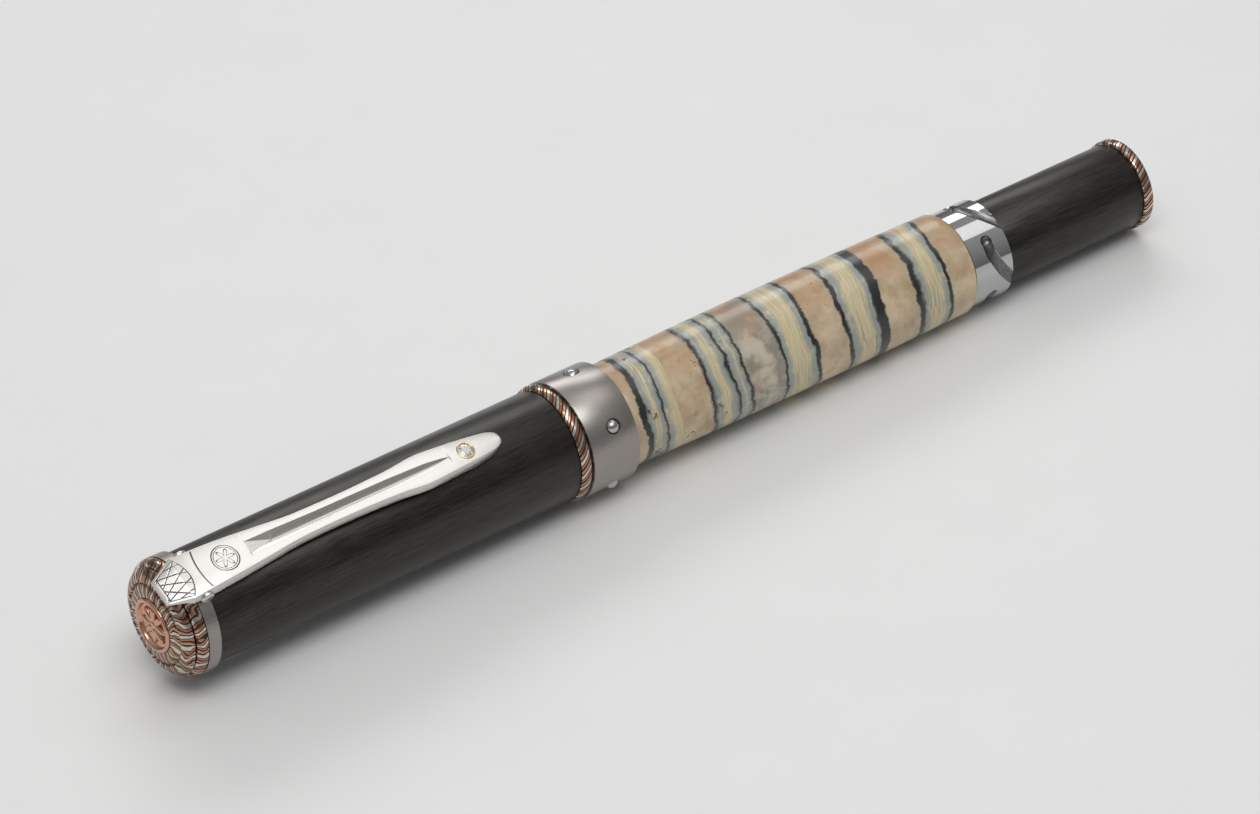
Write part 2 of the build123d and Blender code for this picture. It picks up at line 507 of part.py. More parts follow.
def plan_outline(h, lean):
    """The clip's plan outline at height h, widened by lean on each side."""
    upper = [(a, t + lean) for a, t in CLIP_PLAN]
    lower = [(a, -t) for a, t in upper]
    tip_end = CLIP_TIP_A + lean
    edges = [Line(lower[0], upper[0]), Line(upper[0], upper[1]), Spline(*upper[1:]),
             ThreePointArc(upper[-1], (tip_end, 0), lower[-1]), Spline(*reversed(lower[1:])),
             Line(lower[1], lower[0])]
    return Pos(0, 0, h) * make_face(edges)


clip_block = loft([plan_outline(CLIP_BLOCK_UNDER, CLIP_LEAN), plan_outline(CLIP_BLOCK_TOP, 0)], ruled=True)
top_line = Spline(*CLIP_TOP)
under_line = Spline(*CLIP_UNDER)
UNDER_HEAD_A = 5.2
side_face = make_face([
    Line((-0.6, CLIP_FRONT_TOP_H - 0.05), CLIP_TOP[0]), top_line, Line(CLIP_TOP[-1], (CLIP_TIP_A + 1, 7.6)),
    Line((CLIP_TIP_A + 1, 7.6), (CLIP_TIP_A + 1, 7.4)), Line((CLIP_TIP_A + 1, 7.4), CLIP_UNDER[0]), under_line,
    Polyline(CLIP_UNDER[-1], (UNDER_HEAD_A, CLIP_HEAD_UNDER_H), (2.0, CLIP_HEAD_UNDER_H),
             (-0.6, CLIP_FRONT_UNDER_H - 0.02), (-0.6, CLIP_FRONT_TOP_H - 0.05))])
side_prism = Pos(0, 5, 0) * Rot(90, 0, 0) * extrude(side_face, 10)
clip = clip_block & side_prism


def top_at(a):
    """Height of the clip's top above the axis at a."""
    return (top_line @ ((a - CLIP_TOP[0][0]) / (CLIP_TIP_A - CLIP_TOP[0][0]))).Y


hollow_faces = []
for a, half, depth in CLIP_HOLLOW:
    over = 0.3
    wide = half * (depth + over) / depth if depth > 0.2 else half + over
    h = top_at(a)
    outline = Polyline((a, -wide, h + over), (a, wide, h + over), (a, 0, h - depth), close=True)
    hollow_faces.append(make_face(outline))
clip = clip - loft(hollow_faces, ruled=True)

for side in (-1, 1):
    t_in = side * (LUG_HALF + HEAD_SLOT_PLAY * 2)
    t_out = side * CHEEK_HALF
    cheek = cross_bar(PIVOT_A, PIVOT_H, CHEEK_R, min(t_in, t_out), max(t_in, t_out))
    web = block(PIVOT_A - CHEEK_R, PIVOT_A + CHEEK_R, min(t_in, t_out), max(t_in, t_out), PIVOT_H,
                CLIP_HEAD_UNDER_H + WEB_RISE)
    clip = clip + cheek + web
clip = clip - pin_hole
lug_room = cross_bar(PIVOT_A, PIVOT_H, LUG_R + 0.08, -LUG_HALF - 0.08, LUG_HALF + 0.08)
clip = clip - lug_room
stone_top = top_at(STONE_A)
BEZEL_SEAT = 0.5
clip = clip - Pos(STONE_A, 0, stone_top + 0.5 - BEZEL_SEAT) * Cylinder(BEZEL_R + PRESS_GAP, 1.0)
clip = clip_turn(clip)
bezel_base = stone_top - BEZEL_SEAT
bezel_profile = make_face(Polyline(
    (0, bezel_base + 0.02), (BEZEL_R, bezel_base + 0.02), (BEZEL_R, stone_top + 0.02),
    (BEZEL_R - 0.1, stone_top + 0.1), (STONE_R + 0.02, stone_top + 0.06), (STONE_R + 0.02, stone_top - 0.1),
    (0.2, stone_top - 0.4), (0, stone_top - 0.4), close=True))
stone_bezel = clip_turn(Pos(STONE_A, 0, 0) * Rot(90, 0, 0) * revolve(bezel_profile, Axis.Y))
STONE_SIDES = 8
table = Pos(0, 0, stone_top + 0.14) * RegularPolygon(STONE_R * 0.55, STONE_SIDES)
girdle = Pos(0, 0, stone_top - 0.02) * RegularPolygon(STONE_R, STONE_SIDES, rotation=180.0 / STONE_SIDES)
culet = Pos(0, 0, stone_top - 0.34) * RegularPolygon(0.18, STONE_SIDES, rotation=180.0 / STONE_SIDES)
crown = loft([girdle, table], ruled=True)
pavilion = loft([culet, girdle], ruled=True)
clip_stone = clip_turn(Pos(STONE_A, 0, 0) * (crown + pavilion))

# ------------------------------------------------------------------------------- write
nodes = {
    "barrel_sleeve": barrel_sleeve, "barrel_tube": barrel_tube, "front_lock_ring": front_lock_ring,
    "rear_lock_ring": rear_lock_ring, "tail_tube": tail_tube, "tail_ring": tail_ring,
    "tail_plug": tail_plug, "grip_section": grip_section, "section_o_ring": section_o_ring,
    "nib_collar": nib_collar, "nib": clip_turn(nib), "feed": clip_turn(feed),
    "converter_collar": converter_collar, "converter_tube": converter_tube,
    "converter_sleeve": converter_sleeve, "converter_knob": converter_knob,
    "converter_piston": converter_piston, "converter_rod": converter_rod, "inner_cap": inner_cap,
    "spring_washer": spring_washer, "inner_cap_spring": inner_cap_spring, "cap_tube": cap_tube,
    "cap_liner": cap_liner, "cap_trim_ring": cap_trim_ring, "cap_band": cap_band,
    "ball_cage": ball_cage, "lock_balls": lock_balls, "finial": finial,
    "finial_medallion": finial_medallion, "finial_screw": finial_screw, "top_ring": top_ring,
    "clip_mount": clip_mount, "clip_pin": clip_pin, "clip_spring": clip_spring, "clip": clip,
    "stone_bezel": stone_bezel, "clip_stone": clip_stone,
}
FRAME_A = (PEN_LENGTH + CLIP_PLAN[0][0]) / 2     # the middle of the whole pen
to_frame = Pos(-FRAME_A, 0, AXIS_H)
os.makedirs("parts", exist_ok=True)
for name, shape in nodes.items():
    export_step(to_frame * shape, "parts/" + name + ".step")
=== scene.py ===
# %% [markdown]
# # A capped fountain pen, step by step
# The pen's working parts were drawn as solids first. This lesson dresses them: the
# pieces that show are modelled again with soft edges, and every finish is made of
# shader nodes. All lengths are in metres, but the pen is easier to think of in
# millimetres along its own axis, so a few helpers turn one into the other.

# %% Load the solids
import math
from functools import partialmethod

import bpy
from mathutils import Matrix, Vector


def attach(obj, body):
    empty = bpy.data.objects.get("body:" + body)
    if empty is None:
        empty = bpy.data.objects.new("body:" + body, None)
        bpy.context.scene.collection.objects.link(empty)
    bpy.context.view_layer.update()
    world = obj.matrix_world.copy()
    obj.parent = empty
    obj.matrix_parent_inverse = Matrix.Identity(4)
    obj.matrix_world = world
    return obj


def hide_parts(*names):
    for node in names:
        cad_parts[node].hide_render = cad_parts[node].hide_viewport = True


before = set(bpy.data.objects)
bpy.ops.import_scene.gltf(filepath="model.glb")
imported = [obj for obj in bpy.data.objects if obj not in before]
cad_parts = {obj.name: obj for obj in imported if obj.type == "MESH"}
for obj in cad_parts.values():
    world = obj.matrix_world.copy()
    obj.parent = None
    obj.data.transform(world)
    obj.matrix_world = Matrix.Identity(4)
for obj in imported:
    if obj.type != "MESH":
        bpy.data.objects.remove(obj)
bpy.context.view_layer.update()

# %% [markdown]
# The pen lies along X. "a" is the distance in mm from the face of the cap's medallion,
# "r" the distance from the pen's axis. The clip stands 26 degrees off upright.

# %% Where things are
MM = 0.001
BAND_R = 7.17
FRAME_A = (140.0 - 0.45) / 2
AXIS_Z = BAND_R * MM
CLIP_ROLL = math.radians(26.0)


def at(a, y=0.0, z=0.0):
    """A point beside the pen's axis, from mm to the frame's metres."""
    return Vector(((a - FRAME_A) * MM, y * MM, z * MM + AXIS_Z))


def round_at(a, r, angle):
    """A point at the distance r from the pen's axis, at an angle round it."""
    return at(a, r * math.cos(angle), r * math.sin(angle))


def clip_at(a, across, height):
    """A point given along the clip, across it, and by its height over the pen's axis."""
    y = across * math.cos(CLIP_ROLL) - height * math.sin(CLIP_ROLL)
    z = across * math.sin(CLIP_ROLL) + height * math.cos(CLIP_ROLL)
    return at(a, y, z)


# %% [markdown]
# Operators act on whatever is selected, and loading leaves the solids selected. So
# each piece starts by clearing the selection.

# %% Small helpers for selecting and finishing
def clear_selection():
    bpy.ops.object.select_all(action="DESELECT")


def make_active(obj):
    clear_selection()
    obj.select_set(True)
    bpy.context.view_layer.objects.active = obj


def just_added(name):
    """The object that was added last, under its own name."""
    obj = bpy.context.object
    obj.name = obj.data.name = name
    return obj


def new_object(name, data):
    obj = bpy.data.objects.new(name, data)
    bpy.context.collection.objects.link(obj)
    return obj


def apply_modifier(obj, kind, **settings):
    make_active(obj)
    modifier = obj.modifiers.new(kind.title(), kind)
    for key, value in settings.items():
        setattr(modifier, key, value)
    bpy.ops.object.modifier_apply(modifier=modifier.name)


def cut(piece, cutters):
    """Takes each cutter out of a piece with a Boolean, and then removes the cutter."""
    for cutter in cutters:
        apply_modifier(piece, "BOOLEAN", operation="DIFFERENCE", object=cutter, solver="EXACT")
        bpy.data.objects.remove(cutter)


def join(parts, into):
    """Makes the parts one mesh with the piece that they go into."""
    clear_selection()
    for part in [*parts, into]:
        part.select_set(True)
    bpy.context.view_layer.objects.active = into
    bpy.ops.object.join()


def start_editing():
    """Edit mode, with every corner of the active mesh selected."""
    bpy.ops.object.mode_set(mode="EDIT")
    bpy.ops.mesh.select_mode(type="VERT")
    bpy.ops.mesh.select_all(action="SELECT")


def stop_editing():
    bpy.ops.object.mode_set(mode="OBJECT")


def settle(obj, smooth_angle=35.0):
    """Place goes into the mesh, and curved faces shade smoothly."""
    make_active(obj)
    bpy.ops.object.transform_apply(location=True, rotation=True, scale=True)
    bpy.ops.object.shade_smooth_by_angle(angle=math.radians(smooth_angle))
    print(obj.name, len(obj.data.polygons), "faces")
    return obj


# %% [markdown]
# Most of the pen is turned work. A turned piece is made as a lathe would: one vertex
# is extruded along the outline, and the outline is spun about the pen's axis. Merging
# the doubles closes the seam and the poles, and the normals are then recalculated.

# %% Turning on the lathe
def turn(name, outline, steps=144, bevel=0.05, smooth_angle=35.0):
    """A piece spun about the pen's axis from (a, r) points in mm."""
    clear_selection()
    bpy.ops.mesh.primitive_plane_add(size=MM, location=(0, 0, 0))
    piece = just_added(name)
    start_editing()
    bpy.ops.mesh.merge(type="CENTER")
    before = outline[0]
    bpy.ops.transform.translate(value=at(before[0], 0, before[1]))
    for a, r in outline[1:] + outline[:1]:
        step = at(a, 0, r) - at(before[0], 0, before[1])
        bpy.ops.mesh.extrude_region_move(TRANSFORM_OT_translate={"value": step})
        before = (a, r)
    bpy.ops.mesh.select_all(action="SELECT")
    bpy.ops.mesh.spin(steps=steps, angle=math.tau, center=at(0), axis=(1, 0, 0))
    bpy.ops.mesh.select_all(action="SELECT")
    bpy.ops.mesh.remove_doubles(threshold=0.002 * MM)
    bpy.ops.mesh.normals_make_consistent(inside=False)
    stop_editing()
    if bevel:
        apply_modifier(piece, "BEVEL", width=bevel * MM, segments=2, limit_method="ANGLE",
                       angle_limit=math.radians(38))
    return settle(piece, smooth_angle)


# %% [markdown]
# ## Node helpers
# A material is a graph of nodes. These helpers only save typing: each adds a node,
# connects what it is given, and returns the output socket. Node groups, materials and
# the light of the room are all written with them.

# %% A notebook for writing node trees
class Graph:
    """A node tree, with short ways to add its nodes. Each gives back the new output."""

    def __init__(self, tree):
        self.tree = tree

    def feed(self, socket, value):
        if isinstance(value, bpy.types.NodeSocket):
            self.tree.links.new(value, socket)
        else:
            socket.default_value = value

    def add(self, kind, *values, **settings):
        """One node, with its settings made and its first inputs fed in order."""
        node = self.tree.nodes.new("ShaderNode" + kind)
        for key, value in settings.items():
            setattr(node, key, value)
        for socket, value in zip(node.inputs, values):
            self.feed(socket, value)
        return node

    def math(self, operation, *values):
        return self.add("Math", *values, operation=operation).outputs[0]

    plus = partialmethod(math, "ADD")
    minus = partialmethod(math, "SUBTRACT")
    times = partialmethod(math, "MULTIPLY")
    line = partialmethod(math, "MULTIPLY_ADD")      # a value, its slope and its lift
    larger = partialmethod(math, "MAXIMUM")

    def length(self, x, y):
        return self.math("SQRT", self.plus(self.times(x, x), self.times(y, y)))

    def span(self, *values):
        """A smooth step: the value, where it starts and ends, and what comes out there."""
        values += (0.0, 1.0) if len(values) == 3 else ()
        return self.add("MapRange", *values, interpolation_type="SMOOTHSTEP").outputs[0]

    def mix(self, share, first, second):
        node = self.add("Mix", data_type="RGBA")
        for index, value in ((0, share), (6, first), (7, second)):
            self.feed(node.inputs[index], value)
        return node.outputs[2]

    def ramp(self, value, stops, interpolation="LINEAR"):
        node = self.add("ValToRGB", value)
        ramp = node.color_ramp
        ramp.interpolation = interpolation
        while len(ramp.elements) < len(stops):
            ramp.elements.new(1.0)
        for element, (where, colour) in zip(ramp.elements, stops):
            element.position = where
            element.color = colour
        return node.outputs[0]

    def noise(self, vector, scale, detail=3.0, roughness=0.5, distortion=0.0):
        node = self.add("TexNoise")
        for name, value in (("Vector", vector), ("Scale", scale), ("Detail", detail),
                            ("Roughness", roughness), ("Distortion", distortion)):
            self.feed(node.inputs[name], value)
        return node.outputs["Fac"]

    def split(self, vector):
        return self.add("SeparateXYZ", vector).outputs

    def combine(self, x, y, z):
        return self.add("CombineXYZ", x, y, z).outputs[0]


class Recipe(Graph):
    """One material, with the object position at hand."""

    def __init__(self, name):
        self.mat = bpy.data.materials.new(name)
        self.mat.use_nodes = True
        super().__init__(self.mat.node_tree)
        self.shader = self.tree.nodes["Principled BSDF"]
        self.place = self.add("TexCoord").outputs["Object"]

    def feed_named(self, inputs, values):
        for key, value in values.items():
            self.feed(inputs[key.replace("_", " ")], value)

    def group(self, tree, **values):
        """A shared node group, read at the object position."""
        node = self.add("Group", node_tree=tree)
        self.feed_named(node.inputs, {"Position": self.place, **values})
        return node.outputs

    def bump(self, height, strength, distance):
        node = self.add("Bump")
        self.feed_named(node.inputs, {"Strength": strength, "Distance": distance, "Height": height})
        return node.outputs[0]

    def finish(self, **sockets):
        self.feed_named(self.shader.inputs, sockets)
        return self.mat


# %% [markdown]
# Patterns on a pen follow its axis, so one node group turns an object position into
# pen measures: how far along in mm, how far round in turns, and how far out in mm. Its
# other outputs are the clip's own directions. Every material that needs them uses it.

# %% The pen's own measures, as a node group
def new_group(name, inputs, outputs):
    """A node group that takes a position and numbers, and puts out numbers."""
    graph = Graph(bpy.data.node_groups.new(name, "ShaderNodeTree"))
    interface = graph.tree.interface
    interface.new_socket("Position", in_out="INPUT", socket_type="NodeSocketVector")
    for way, names in (("INPUT", inputs), ("OUTPUT", outputs)):
        for one in names:
            interface.new_socket(one, in_out=way, socket_type="NodeSocketFloat")
    source, sink = (graph.tree.nodes.new("NodeGroup" + end) for end in ("Input", "Output"))
    return graph, source.outputs, sink.inputs


def make_measures():
    names = ("Along", "Round", "Out", "Across", "Height")
    graph, source, sink = new_group("PenMeasures", (), names)
    x, y, z = graph.split(source["Position"])
    along = graph.line(x, 1000.0, FRAME_A)
    y, z = graph.times(y, 1000.0), graph.line(z, 1000.0, -BAND_R)
    turns = graph.math("DIVIDE", graph.math("ARCTAN2", z, y), math.tau)
    cos, sin = math.cos(CLIP_ROLL), math.sin(CLIP_ROLL)
    across = graph.plus(graph.times(y, cos), graph.times(z, sin))
    height = graph.minus(graph.times(z, cos), graph.times(y, sin))
    for name, value in zip(names, (along, turns, graph.length(y, z), across, height)):
        graph.feed(sink[name], value)
    return graph.tree


MEASURES = make_measures()

# %% [markdown]
# Machined and brushed metal has fine marks drawn out one way. This group stretches a
# noise along the pen or round it. It puts out the marks, which the materials use for
# roughness, colour and a very shallow bump.

# %% Fine drawn-out marks, as a node group
def make_grain():
    graph, source, sink = new_group("DrawnGrain", ("Fineness", "Stretch Along"), ("Marks", "Cloud"))
    x, y, z = graph.split(source["Position"])
    drawn = graph.combine(graph.math("DIVIDE", x, source["Stretch Along"]), y, z)
    graph.feed(sink["Marks"], graph.noise(drawn, source["Fineness"], 4.0, 0.65))
    graph.feed(sink["Cloud"], graph.noise(source["Position"], 140.0, 2.0))
    return graph.tree


GRAIN = make_grain()

# %% [markdown]
# ## The dark cap and tail
# The tubes are a near-black metal with a satin, lengthwise grain. The grain is a noise
# stretched twenty-two times along the pen: it lightens the colour a little and breaks up the
# highlight through roughness, as fine lines do.

# %% Dark satin metal
def grained_metal(name, colour, spread, roughness, rough_spread, fineness, stretch, metallic=1.0,
                  bump=0.15, **sockets):
    """Satin metal with drawn-out marks: colour and roughness vary about their values."""
    recipe = Recipe(name)
    grain = recipe.group(GRAIN, Fineness=fineness, Stretch_Along=stretch)
    dark = tuple(c * (1 - spread) for c in colour) + (1.0,)
    light = tuple(min(1.0, c * (1 + spread)) for c in colour) + (1.0,)
    marks = recipe.span(grain["Marks"], 0.3, 0.7)
    tone = recipe.mix(marks, dark, light)
    cloudy = recipe.span(grain["Cloud"], 0.3, 0.7, -0.35, 0.35)
    rough = recipe.line(recipe.plus(marks, cloudy), rough_spread,
                        roughness - rough_spread / 2)
    normal = recipe.bump(grain["Marks"], bump, 0.02 * MM)
    return recipe.finish(Base_Color=tone, Roughness=rough, Normal=normal, Metallic=metallic, **sockets)


dark_satin = grained_metal("dark_satin_metal", (0.058, 0.055, 0.050), 0.28, 0.36, 0.12, 7000.0, 22.0,
                           bump=0.06)
grey_satin = grained_metal("grey_satin_metal", (0.36, 0.335, 0.315), 0.08, 0.34, 0.08, 3800.0, 0.35,
                           bump=0.1)
spring_metal = grained_metal("spring_metal", (0.5, 0.5, 0.5), 0.1, 0.28, 0.1, 3000.0, 1.0)
plain_alloy = grained_metal("plain_alloy", (0.62, 0.62, 0.63), 0.08, 0.32, 0.1, 3000.0, 0.3)
yellow_metal = grained_metal("yellow_metal", (0.62, 0.46, 0.2), 0.1, 0.3, 0.1, 3000.0, 0.3)
fine_gold = grained_metal("fine_gold", (0.78, 0.58, 0.27), 0.05, 0.14, 0.06, 3000.0, 6.0, bump=0.05)
rose_gold = grained_metal("rose_gold", (0.66, 0.39, 0.28), 0.08, 0.15, 0.08, 3600.0, 1.0, bump=0.06)
polished_steel = grained_metal("polished_steel", (0.50, 0.50, 0.50), 0.04, 0.08, 0.04, 2600.0, 0.5,
                               bump=0.03)
print("metals made:", len(bpy.data.materials))

# %% [markdown]
# The lock rings are polished outside, and a cutter leaves the tracks in them satin. The
# distance from the pen's axis tells the two apart: what lies deeper than the ring's outside
# is a cut, so it gets more roughness, the cutter's marks and a darker tone, which is painted shade in the
# tracks.

# %% Polished outside, satin cuts with painted shade
LOCK_R = 5.98


def make_milled():
    recipe = Recipe("milled_steel")
    measure = recipe.group(MEASURES)
    grain = recipe.group(GRAIN, Fineness=2600.0, Stretch_Along=0.5)
    marks = recipe.span(grain["Marks"], 0.3, 0.7)
    cut = recipe.span(measure["Out"], LOCK_R - 0.07, LOCK_R - 0.015, 1.0, 0.0)
    steel = recipe.mix(marks, (0.50, 0.50, 0.50, 1), (0.54, 0.54, 0.54, 1))
    # Painted shade: the metal in the cuts gets a darker colour than the polished outside.
    painted_cut_shade = recipe.mix(marks, (0.12, 0.12, 0.12, 1), (0.24, 0.24, 0.24, 1))
    rough = recipe.line(cut, 0.24, recipe.line(marks, 0.03, 0.06))
    normal = recipe.bump(recipe.times(marks, cut), 0.3, 0.03 * MM)
    return recipe.finish(Base_Color=recipe.mix(cut, steel, painted_cut_shade), Roughness=rough, Normal=normal,
                         Metallic=1.0)


milled_steel = make_milled()

# %% [markdown]
# ## Laminated metal
# The finial and the twisted rings are copper, silver and black layers, forged together
# and cut through, so the layers show as wavy stripes. On the rings they run aslant like
# a rope's strands. The stripes are a saw wave of the angle about the axis, bent by a
# noise, and a colour ramp paints one strand of each metal.

# %% Laminated metal
def laminate(name, count, slant, wander, roughness):
    """Wavy stripes round the pen: count of them, and slant in turns for each mm along."""
    recipe = Recipe(name)
    measure = recipe.group(MEASURES)
    bend = recipe.noise(recipe.place, 420.0, 1.5, 0.5, 0.4)
    bend = recipe.line(bend, wander, -wander / 2)
    turns = recipe.line(measure["Along"], slant, measure["Round"])
    phase = recipe.line(turns, count, bend)
    layer = recipe.math("FRACT", phase)
    copper, rose = (0.44, 0.21, 0.12, 1), (0.58, 0.35, 0.25, 1)
    pale, black = (0.66, 0.62, 0.56, 1), (0.02, 0.012, 0.01, 1)
    layers = [(0.0, black), (0.15, black), (0.18, copper), (0.36, rose), (0.40, black), (0.50, black),
              (0.53, pale), (0.74, pale), (0.77, black), (0.82, black), (0.85, copper), (0.96, copper)]
    colour = recipe.ramp(layer, layers)
    no, yes = (0, 0, 0, 1), (1, 1, 1, 1)
    metal_shows = recipe.ramp(layer, [(where, no if tone is black else yes) for where, tone in layers])
    rough = recipe.span(metal_shows, 0.0, 1.0, 0.5, roughness)
    metal = recipe.span(metal_shows, 0.0, 1.0, 0.3, 1.0)
    normal = recipe.bump(metal_shows, 0.25, 0.02 * MM)
    return recipe.finish(Base_Color=colour, Roughness=rough, Metallic=metal, Normal=normal)


finial_laminate = laminate("laminate_wavy", 25.0, 0.006, 2.0, 0.18)
rope_laminate = laminate("laminate_rope", 24.0, 0.028, 0.25, 0.2)
tail_laminate = laminate("laminate_tail", 22.0, 0.02, 0.2, 0.2)

# %% [markdown]
# ## The barrel's banded material
# The barrel is a cream material in thick growth bands. Irregular near-black seams part
# them, with a blue-grey fringe, and every other band is full of fine lines like pages.
# Each seam is one entry in a table: its place along the pen and its width in mm. The
# place is shifted by a slow swing round the barrel and by two noises, so that no seam is
# a straight ring.

# %% The table of seams and bands
SEAMS = [(63.8, 0.85), (66.6, 0.3), (73.1, 0.6), (76.3, 0.5), (78.3, 0.42), (83.2, 0.45),
         (88.0, 0.55), (92.9, 0.6), (98.2, 1.35), (103.7, 0.75), (108.1, 0.55)]
BANDS = [(62.0, "plain"), (63.8, "paged"), (68.6, "plain"), (73.1, "paged"), (78.3, "stony"),
         (83.2, "paged"), (88.0, "plain"), (92.9, "paged"), (98.2, "plain"), (103.7, "paged"),
         (108.1, "plain")]
BARREL_A0, BARREL_A1 = 61.0, 113.0
SLEEVE_EDGE_A = 111.98       # from here the liner's brass edge shows


def on_barrel(a):
    return (a - BARREL_A0) / (BARREL_A1 - BARREL_A0)


def band_stops(colours, softness=0.12):
    """Colour stops that hold one colour over each band."""
    stops = [(0.0, colours[BANDS[0][1]])]
    for (a, _), (_, before), (_, kind) in zip(BANDS[1:], BANDS, BANDS[1:]):
        stops.append((on_barrel(a - softness), colours[before]))
        stops.append((on_barrel(a + softness), colours[kind]))
    return stops


# %% Cream bands, dark seams
def make_banded():
    recipe = Recipe("banded_cream")
    measure = recipe.group(MEASURES)
    slow = recipe.noise(recipe.place, 130.0, 2.0, 0.5)
    fine = recipe.noise(recipe.place, 620.0, 5.0, 0.7)
    swing = recipe.math("COSINE", recipe.line(measure["Round"], math.tau, -math.radians(148)))
    swing = recipe.line(swing, -0.75, 0.75)
    shift = recipe.line(slow, 2.4, -1.2)
    jag = recipe.line(fine, 1.3, -0.65)
    flat = recipe.minus(measure["Along"], recipe.plus(swing, shift))
    place = recipe.plus(flat, jag)
    smooth_at, jagged_at = (recipe.math("DIVIDE", recipe.minus(one, BARREL_A0), BARREL_A1 - BARREL_A0)
                            for one in (flat, place))

    white, none = (1, 1, 1, 1), (0, 0, 0, 1)

    def seam_mask(extras, soft):
        """White on the seams, widened by the extras. One ramp holds about half of them."""
        halves = []
        for seams, extra in zip((SEAMS[:6], SEAMS[6:]), extras):
            stops = [(0.0, none)]
            for a, wide in seams:
                half = wide / 2 + extra
                stops += [(on_barrel(a - half - soft), none), (on_barrel(a - half + soft), white),
                          (on_barrel(a + half - soft), white), (on_barrel(a + half + soft), none)]
            halves.append(recipe.ramp(jagged_at, stops))
        return recipe.larger(*halves)

    dark = seam_mask((0.0, 0.0), 0.05)
    fringe = seam_mask((0.75, 0.85), 0.28)

    paged = recipe.ramp(smooth_at, band_stops({"plain": none, "paged": white,
                                               "stony": (0.25, 0.25, 0.25, 1)}))
    stony = recipe.ramp(smooth_at, band_stops({"plain": none, "paged": none, "stony": white}))

    mottle = recipe.noise(recipe.place, 320.0, 4.0, 0.6)
    tan = recipe.mix(recipe.span(mottle, 0.3, 0.7), (0.44, 0.32, 0.19, 1), (0.66, 0.53, 0.36, 1))
    pages_at = recipe.combine(recipe.times(flat, 2.9), recipe.times(measure["Round"], 2.6), 0.0)
    pages = recipe.noise(pages_at, 1.0, 5.0, 0.7, 0.12)
    page_colour = recipe.ramp(pages, [(0.3, (0.16, 0.12, 0.07, 1)), (0.4, (0.36, 0.35, 0.28, 1)),
                                      (0.46, (0.58, 0.48, 0.27, 1)), (0.54, (0.66, 0.58, 0.40, 1)),
                                      (0.61, (0.46, 0.33, 0.16, 1)), (0.7, (0.60, 0.54, 0.40, 1))])
    stone_colour = recipe.mix(recipe.span(mottle, 0.42, 0.6), (0.24, 0.21, 0.17, 1), (0.54, 0.49, 0.40, 1))
    colour = recipe.mix(paged, tan, page_colour)
    colour = recipe.mix(recipe.times(stony, 0.85), colour, stone_colour)
    up = recipe.math("COSINE", recipe.line(measure["Round"], math.tau, -math.radians(85)))
    scorch = recipe.times(recipe.span(up, 0.62, 0.95), recipe.span(mottle, 0.36, 0.55))
    scorch = recipe.times(scorch, recipe.minus(1.0, paged))
    colour = recipe.mix(recipe.times(scorch, 0.8), colour, (0.40, 0.19, 0.06, 1))

    patch = recipe.span(recipe.noise(recipe.place, 190.0, 3.0, 0.55), 0.56, 0.68)
    patch = recipe.times(patch, recipe.minus(1.0, recipe.times(paged, 0.85)))
    colour = recipe.mix(recipe.times(patch, 0.55), colour, (0.34, 0.17, 0.07, 1))
    speck = recipe.span(recipe.noise(recipe.place, 1500.0, 5.0, 0.7), 0.62, 0.7)
    speck = recipe.times(speck, recipe.span(recipe.noise(recipe.place, 260.0, 2.0), 0.5, 0.62))
    colour = recipe.mix(recipe.times(speck, 0.8), colour, (0.16, 0.07, 0.03, 1))

    blue = recipe.span(recipe.noise(recipe.place, 700.0, 4.0, 0.6), 0.25, 0.5)
    fringe = recipe.times(fringe, recipe.line(paged, 0.82, 0.1))
    fringe = recipe.times(fringe, blue)
    colour = recipe.mix(fringe, colour, (0.27, 0.31, 0.29, 1))
    blot = recipe.span(recipe.noise(recipe.place, 330.0, 5.0, 0.68), 0.6, 0.66)
    front = recipe.span(smooth_at, on_barrel(73.0), on_barrel(80.0), 1.0, 0.0)
    blot = recipe.times(blot, recipe.times(front, 0.85))
    dark = recipe.larger(dark, blot)
    colour = recipe.mix(dark, colour, (0.012, 0.014, 0.014, 1))
    edge = recipe.span(measure["Along"], SLEEVE_EDGE_A - 0.03, SLEEVE_EDGE_A + 0.03)
    colour = recipe.mix(edge, colour, (0.42, 0.29, 0.12, 1))
    rough = recipe.line(mottle, 0.16, 0.3)
    height = recipe.line(dark, -1.0, recipe.times(fine, 0.5))
    normal = recipe.bump(height, 0.35, 0.05 * MM)
    return recipe.finish(Base_Color=colour, Roughness=rough, Normal=normal, Coat_Weight=0.35,
                         Coat_Roughness=0.12)


banded = make_banded()

# %% [markdown]
# ## Plastics, rubber and glass
# The inner pieces are plain, but none is one flat colour: a faint cloud moves the
# roughness, and moulded pieces get a fine grain. A cut stone sparkles because each facet
# shows another part of the room, so the stone's colour gets small light and dark wedges, which are painted
# reflections.

# %% Plastic, rubber, clear and stone
def moulded(name, colour, roughness, fine_bump, **sockets):
    recipe = Recipe(name)
    grain = recipe.group(GRAIN, Fineness=2600.0, Stretch_Along=1.0)
    tone = recipe.mix(recipe.span(grain["Cloud"], 0.3, 0.7), tuple(c * 0.82 for c in colour) + (1,),
                      tuple(min(1.0, c * 1.15) for c in colour) + (1,))
    rough = recipe.span(grain["Marks"], 0.3, 0.7, roughness * 0.8, roughness * 1.25)
    normal = recipe.bump(grain["Marks"], fine_bump, 0.02 * MM)
    return recipe.finish(Base_Color=tone, Roughness=rough, Normal=normal, **sockets)


polished_black = moulded("polished_black", (0.014, 0.014, 0.015), 0.12, 0.02, Coat_Weight=0.5)
matt_black = moulded("matt_black", (0.03, 0.03, 0.03), 0.45, 0.3)
soft_seal = moulded("soft_seal", (0.03, 0.03, 0.032), 0.6, 0.3)
clear_shell = moulded("clear_shell", (0.85, 0.87, 0.88), 0.1, 0.02, Transmission_Weight=0.85, IOR=1.49)

# %% The stone's facets, as painted reflections
STONE_A = 40.4


